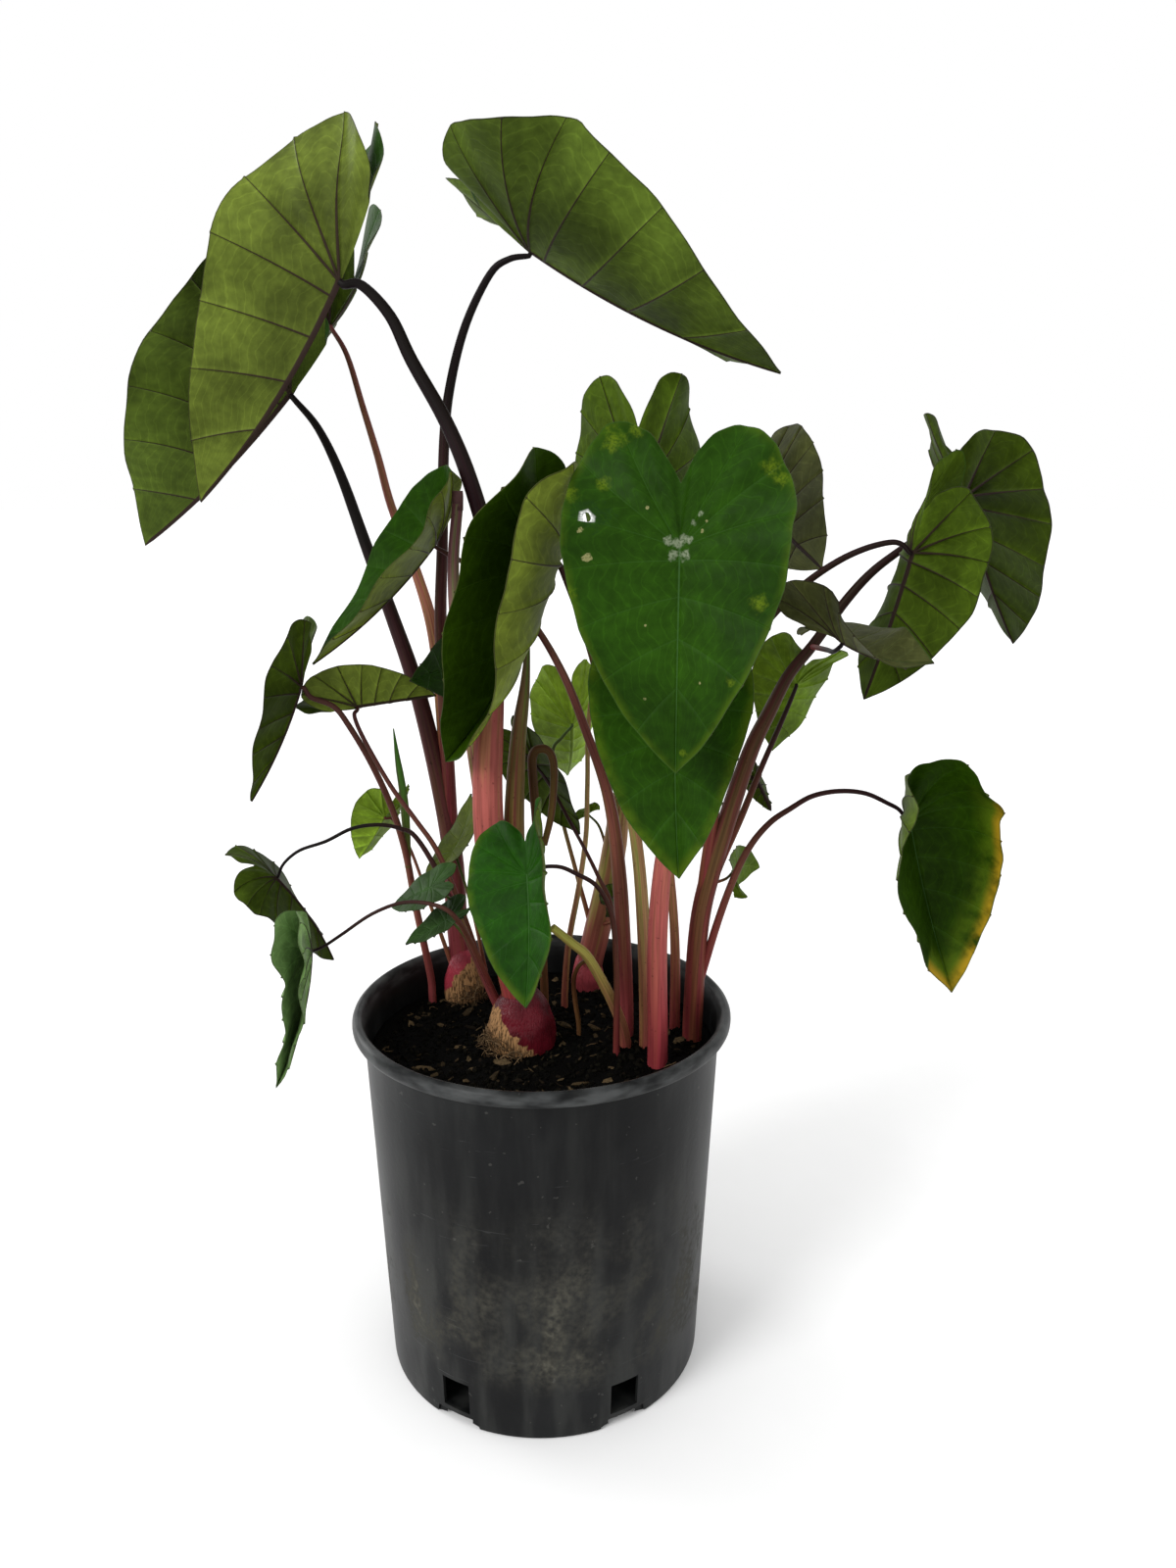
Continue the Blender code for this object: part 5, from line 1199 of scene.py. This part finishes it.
class ELEPHANTEAR_OT_leaves(bpy.types.Operator):
    """Build every leaf blade with its veins, waves and marks"""
    bl_idname = "elephantear.leaves"
    bl_label = "Leaves"

    def execute(self, context):
        look = context.scene.elephantear_leaf
        above = dict(side="top", vein=tuple(look.top_vein), margin=(0.026, 0.060, 0.010), widths=(0.35, 0.30),
                     strengths=(0.60, 0.20), raised=-0.8, roughness=look.roughness, gloss=look.gloss)
        below = dict(side="under", vein=tuple(look.under_vein), margin=(0.012, 0.008, 0.008), widths=(1.35, 0.60),
                     strengths=(0.95, 0.90), raised=1.2, roughness=0.55, gloss=0.05)
        top = leaf_finish("leaf_top", **above)
        under = leaf_finish("leaf_underside", **below)
        # Finishes for the leaves whose greens are painted backlight, with pale veins.
        pale = dict(vein=(0.110, 0.170, 0.020), margin=(0.045, 0.060, 0.012), widths=(0.6, 0.35),
                    strengths=(0.7, 0.5), raised=0.8, roughness=0.5, gloss=0.05)
        backlit_top = leaf_finish("leaf_pale_top", side="top", **pale)
        backlit_under = leaf_finish("leaf_pale_underside", side="under", **pale)
        front = leaf_named("leaf_front_heart")
        marks = []
        for places, colour, strength, soft in (((DARK_HALO,), (0.008, 0.026, 0.006), 0.6, 0.5),
                                               (YELLOW_MARKS, (0.100, 0.150, 0.006), 0.62, 0.75),
                                               (TAN_SCARS, (0.210, 0.200, 0.085), 0.9, 0.0),
                                               (PALE_SCARS, (0.200, 0.230, 0.155), 0.70, 0.35)):
            marks += [(front.point(side, spoke, reach), size * MM, colour, strength, soft)
                      for side, spoke, reach, size in places]
        marked = leaf_finish("leaf_top_marked", marks=marks, **above)
        slots = {part["node"]: part["material_slot"] for part in frame["record"]["subparts"]}
        for blade in LEAVES:
            pair = (top, under)
            if LEAF_GREENS[blade.name][0] in BACKLIT_GREENS:
                pair = (backlit_top, backlit_under)
            if blade is front:
                pair = (marked, under)
            obj = make_leaf(blade, *pair, look)
            if blade is front:
                pierce(obj, blade, *FRONT_HOLE)
            placed(obj, slots[blade.name], blade.name)
        return {"FINISHED"}


class ELEPHANTEAR_OT_stems(bpy.types.Operator):
    """Build the stems, corms, husks and the hollow stump"""
    bl_idname = "elephantear.stems"
    bl_label = "Stems and corms"

    def execute(self, context):
        look = context.scene.elephantear_stem
        tree = stem_tree()
        skin = stem_finish()
        husk = tuple(look.husk_tan)
        shoots = {
            "shoot_front": (SHOOT_FRONT, FRONT_CORM, FRONT_CORM_SIZE, tuple(look.corm_red), 1.1, 12.0),
            "shoot_back_left": (SHOOT_BACK_LEFT, BACK_CORM, BACK_CORM_SIZE, (0.250, 0.025, 0.040), -1.2, 22.0),
            "shoot_mid_back": (SHOOT_MID_BACK, MID_CORM, MID_CORM_SIZE, (0.260, 0.040, 0.050), -1.0, -20.0),
        }
        slots = {part["node"]: part["material_slot"] for part in frame["record"]["subparts"]}
        for name, (stems, centre, size, red, lean, reach) in shoots.items():
            lines = []
            for points, leaf, radii in stems:
                palette, streak = SHOOT_LOOKS[leaf]
                if points == STUMP_ROUTE:
                    palette, points = "stump", STUMP_SHORT
                lines.append((points, radii, palette, streak, leaf))
            stem = make_stem(name, lines, tree, skin, look.sides)
            coat = corm_finish(name + "_corm_skin", red, husk, centre, lean, reach)
            corm = make_corm(name + "_corm", centre, size, coat, size[0])
            placed(stem, slots[name], name)
            placed(corm, slots[name])
        lines = [(points, radii, *SHOOT_LOOKS[leaf], leaf) for points, leaf, radii in SHOOT_RIGHT]
        placed(make_stem("shoot_right", lines, tree, skin, look.sides), slots["shoot_right"], "shoot_right")
        for name, leaf, radii, points in SINGLE_STEMS:
            lines = [(points, radii, *SINGLE_LOOKS[name], leaf)]
            if name == "stem_left_thin":
                lines.append((SPEAR_ROUTE, SPEAR_RADII, "spear", 0.5, None))
            placed(make_stem(name, lines, tree, skin, look.sides), slots[name], name)
        bent = [(YELLOW_ROUTE, YELLOW_RADII, "straw", 0.15, None), (LOOP_ROUTE, LOOP_RADII, "husk", 0.2, None)]
        placed(make_stem("stem_bent_yellow", bent, tree, skin, look.sides), "stem_yellow", "stem_bent_yellow")
        dry = [(WITHERED_ROUTE, WITHERED_RADII, "husk", 0.3, None)]
        placed(make_stem("stem_withered", dry, tree, skin, look.sides), "withered", "stem_withered")
        hollow = lathe("stump_hollow", STUMP_HOLLOW, 24, (STUMP_ROUTE[0][0] * MM, STUMP_ROUTE[0][1] * MM))
        hollow.data.materials.append(plain_finish("stump_cut", (0.060, 0.022, 0.022), 0.7))
        hollow.data.shade_smooth()
        placed(hollow, slots["shoot_front"])
        return {"FINISHED"}


class ELEPHANTEAR_OT_pot(bpy.types.Operator):
    """Build the nursery pot with its rolled rim and drain openings"""
    bl_idname = "elephantear.pot"
    bl_label = "Pot"

    def execute(self, context):
        look = context.scene.elephantear_pot
        pot = lathe("nursery_pot", pot_profile(), look.steps)
        cutters = []
        for index in range(DRAIN_COUNT):
            angle = math.tau * (index + 0.5) / DRAIN_COUNT
            cutters.append(wedge_cutter(f"drain_{index}", DRAIN_WIDTH, DRAIN_WIDTH, DRAIN_LOW, DRAIN_HIGH, angle))
            cutters.append(wedge_cutter(f"notch_{index}", NOTCH_WIDTH, NOTCH_WIDTH - 4 * MM, -2 * MM,
                                        FLOOR_LIFT - 0.5 * MM, angle))
        for cutter in cutters:
            cut = pot.modifiers.new(cutter.name, "BOOLEAN")
            cut.operation = "DIFFERENCE"
            cut.solver = "EXACT"
            cut.object = cutter
        pot.data.materials.append(pot_finish())
        settled(pot, 32)
        for cutter in cutters:
            bpy.data.objects.remove(cutter)
        placed(pot, "pot_plastic", "pot")
        return {"FINISHED"}


class ELEPHANTEAR_OT_soil(bpy.types.Operator):
    """Build the soil with its crumbs, bark chips, rootlets and the husk fibres on the corms"""
    bl_idname = "elephantear.soil"
    bl_label = "Soil"

    def execute(self, context):
        look = context.scene.elephantear_pot
        tree = scatter_tree()
        soil = soil_bed("soil_bed", SOIL_RADIUS, 12 * MM)
        dark = earth_finish("soil_dark", (0.0014, 0.0012, 0.0009), (0.0065, 0.0055, 0.0035))
        soil.data.materials.append(dark)
        soil.data.shade_smooth()
        placed(soil, "soil", "soil")
        ground = soil_bed("strewing_ground", SOIL_RADIUS - 7 * MM, 0)
        bark = earth_finish("bark_chips", (0.0060, 0.0045, 0.0030), (0.110, 0.075, 0.038))
        fibre = earth_finish("rootlets", (0.045, 0.026, 0.013), (0.230, 0.150, 0.080))
        shapes = [flake("crumb_shape", (1, 0.8, 0.7), 1), flake("chip_shape", (1.3, 0.7, 0.28), 5),
                  flake("bark_shape", (1.5, 0.5, 0.35), 9), thread("rootlet_shape", 0.5, 3),
                  thread("twig_shape", 0.25, 8)]
        pieces = (
            ("soil_crumbs", shapes[0], look.crumb_density, 1.2, 4.5, 3.0, 11, dark),
            ("soil_chips", shapes[1], look.chip_density, 2.0, 7.0, 0.7, 23, bark),
            ("bark_pieces", shapes[2], look.chip_density * 0.14, 5.0, 13.0, 0.5, 31, bark),
            ("rootlets_loose", shapes[3], look.chip_density * 0.16, 9.0, 22.0, 0.4, 47, fibre),
        )
        for name, shape, density, smallest, largest, tilt, seed, coat in pieces:
            placed(strewn(name, ground, tree, shape, density, smallest, largest, tilt, seed, coat), "soil")
        for name, centre, radius, turn, seed in (("front_husk_fibres", FRONT_CORM, FRONT_CORM_SIZE[0], 215, 61),
                                                 ("back_husk_fibres", BACK_CORM, BACK_CORM_SIZE[0], 300, 67)):
            skirt = husk_skirt(name + "_ground", centre, radius, math.radians(turn))
            placed(strewn(name, skirt, tree, shapes[4], 240000.0, 6.0, 15.0, 0.6, seed, fibre), "stem_pink")
            bpy.data.objects.remove(skirt)
        for extra in shapes + [ground]:
            bpy.data.objects.remove(extra)
        return {"FINISHED"}


class ELEPHANTEAR_OT_stage(bpy.types.Operator):
    """Set the floor, the lights and the camera of the photograph"""
    bl_idname = "elephantear.stage"
    bl_label = "Stage"

    def execute(self, context):
        scene = context.scene
        scene.view_settings.view_transform = "Standard"
        bm = bmesh.new()
        bmesh.ops.create_grid(bm, x_segments=8, y_segments=8, size=30)
        floor = object_from("floor", bm)
        floor.location.z = -0.5 * MM
        floor.data.materials.append(plain_finish("floor_pale", (0.88, 0.88, 0.88), 0.8))
        world = bpy.data.worlds.new("studio")
        world.use_nodes = True
        world.node_tree.nodes["Background"].inputs[0].default_value = (1.0, 1.0, 1.0, 1)
        world.node_tree.nodes["Background"].inputs[1].default_value = 1.0
        scene.world = world
        for name, place, energy, spread in (("key", (-1.3, -1.2, 1.5), 1.9, 25), ("fill", (1.6, -1.2, 0.6), 0.5, 50),
                                            ("back", (-1.6, 0.9, 0.9), 1.3, 30)):
            light = bpy.data.lights.new(name, "SUN")
            light.energy = energy
            light.angle = math.radians(spread)
            lamp = bpy.data.objects.new(name, light)
            lamp.location = place
            lamp.rotation_euler = (Vector((0, 0, 0.4)) - Vector(place)).to_track_quat("-Z", "Y").to_euler()
            scene.collection.objects.link(lamp)
        lens = bpy.data.cameras.new("camera")
        lens.lens = 27
        lens.sensor_width = 36
        camera = bpy.data.objects.new("camera", lens)
        camera.location = (0.0304, -0.7253, 0.5828)
        camera.rotation_euler = (math.radians(75.82), 0, 0)
        scene.collection.objects.link(camera)
        scene.camera = camera
        return {"FINISHED"}


class ELEPHANTEAR_PT_panel(bpy.types.Panel):
    bl_label = "Potted elephant ear"
    bl_idname = "ELEPHANTEAR_PT_panel"
    bl_space_type = "VIEW_3D"
    bl_region_type = "UI"
    bl_category = "Elephant Ear"

    def draw(self, context):
        scene = context.scene
        for settings in (scene.elephantear_leaf, scene.elephantear_stem, scene.elephantear_pot):
            box = self.layout.box()
            for name in type(settings).__annotations__:
                box.prop(settings, name)
        for operator in OPERATORS:
            self.layout.operator(operator.bl_idname)


SETTINGS = {"elephantear_leaf": LeafSettings, "elephantear_stem": StemSettings, "elephantear_pot": PotSettings}
OPERATORS = (ELEPHANTEAR_OT_leaves, ELEPHANTEAR_OT_stems, ELEPHANTEAR_OT_pot, ELEPHANTEAR_OT_soil,
             ELEPHANTEAR_OT_stage)
CLASSES = tuple(SETTINGS.values()) + OPERATORS + (ELEPHANTEAR_PT_panel,)


def register():
    for item in CLASSES:
        bpy.utils.register_class(item)
    for name, settings in SETTINGS.items():
        setattr(bpy.types.Scene, name, PointerProperty(type=settings))


def unregister():
    for name in SETTINGS:
        delattr(bpy.types.Scene, name)
    for item in reversed(CLASSES):
        bpy.utils.unregister_class(item)


def main():
    register()
    bpy.ops.elephantear.leaves()
    bpy.ops.elephantear.stems()
    bpy.ops.elephantear.pot()
    bpy.ops.elephantear.soil()
    bpy.ops.elephantear.stage()


if __name__ == "__main__":
    main()
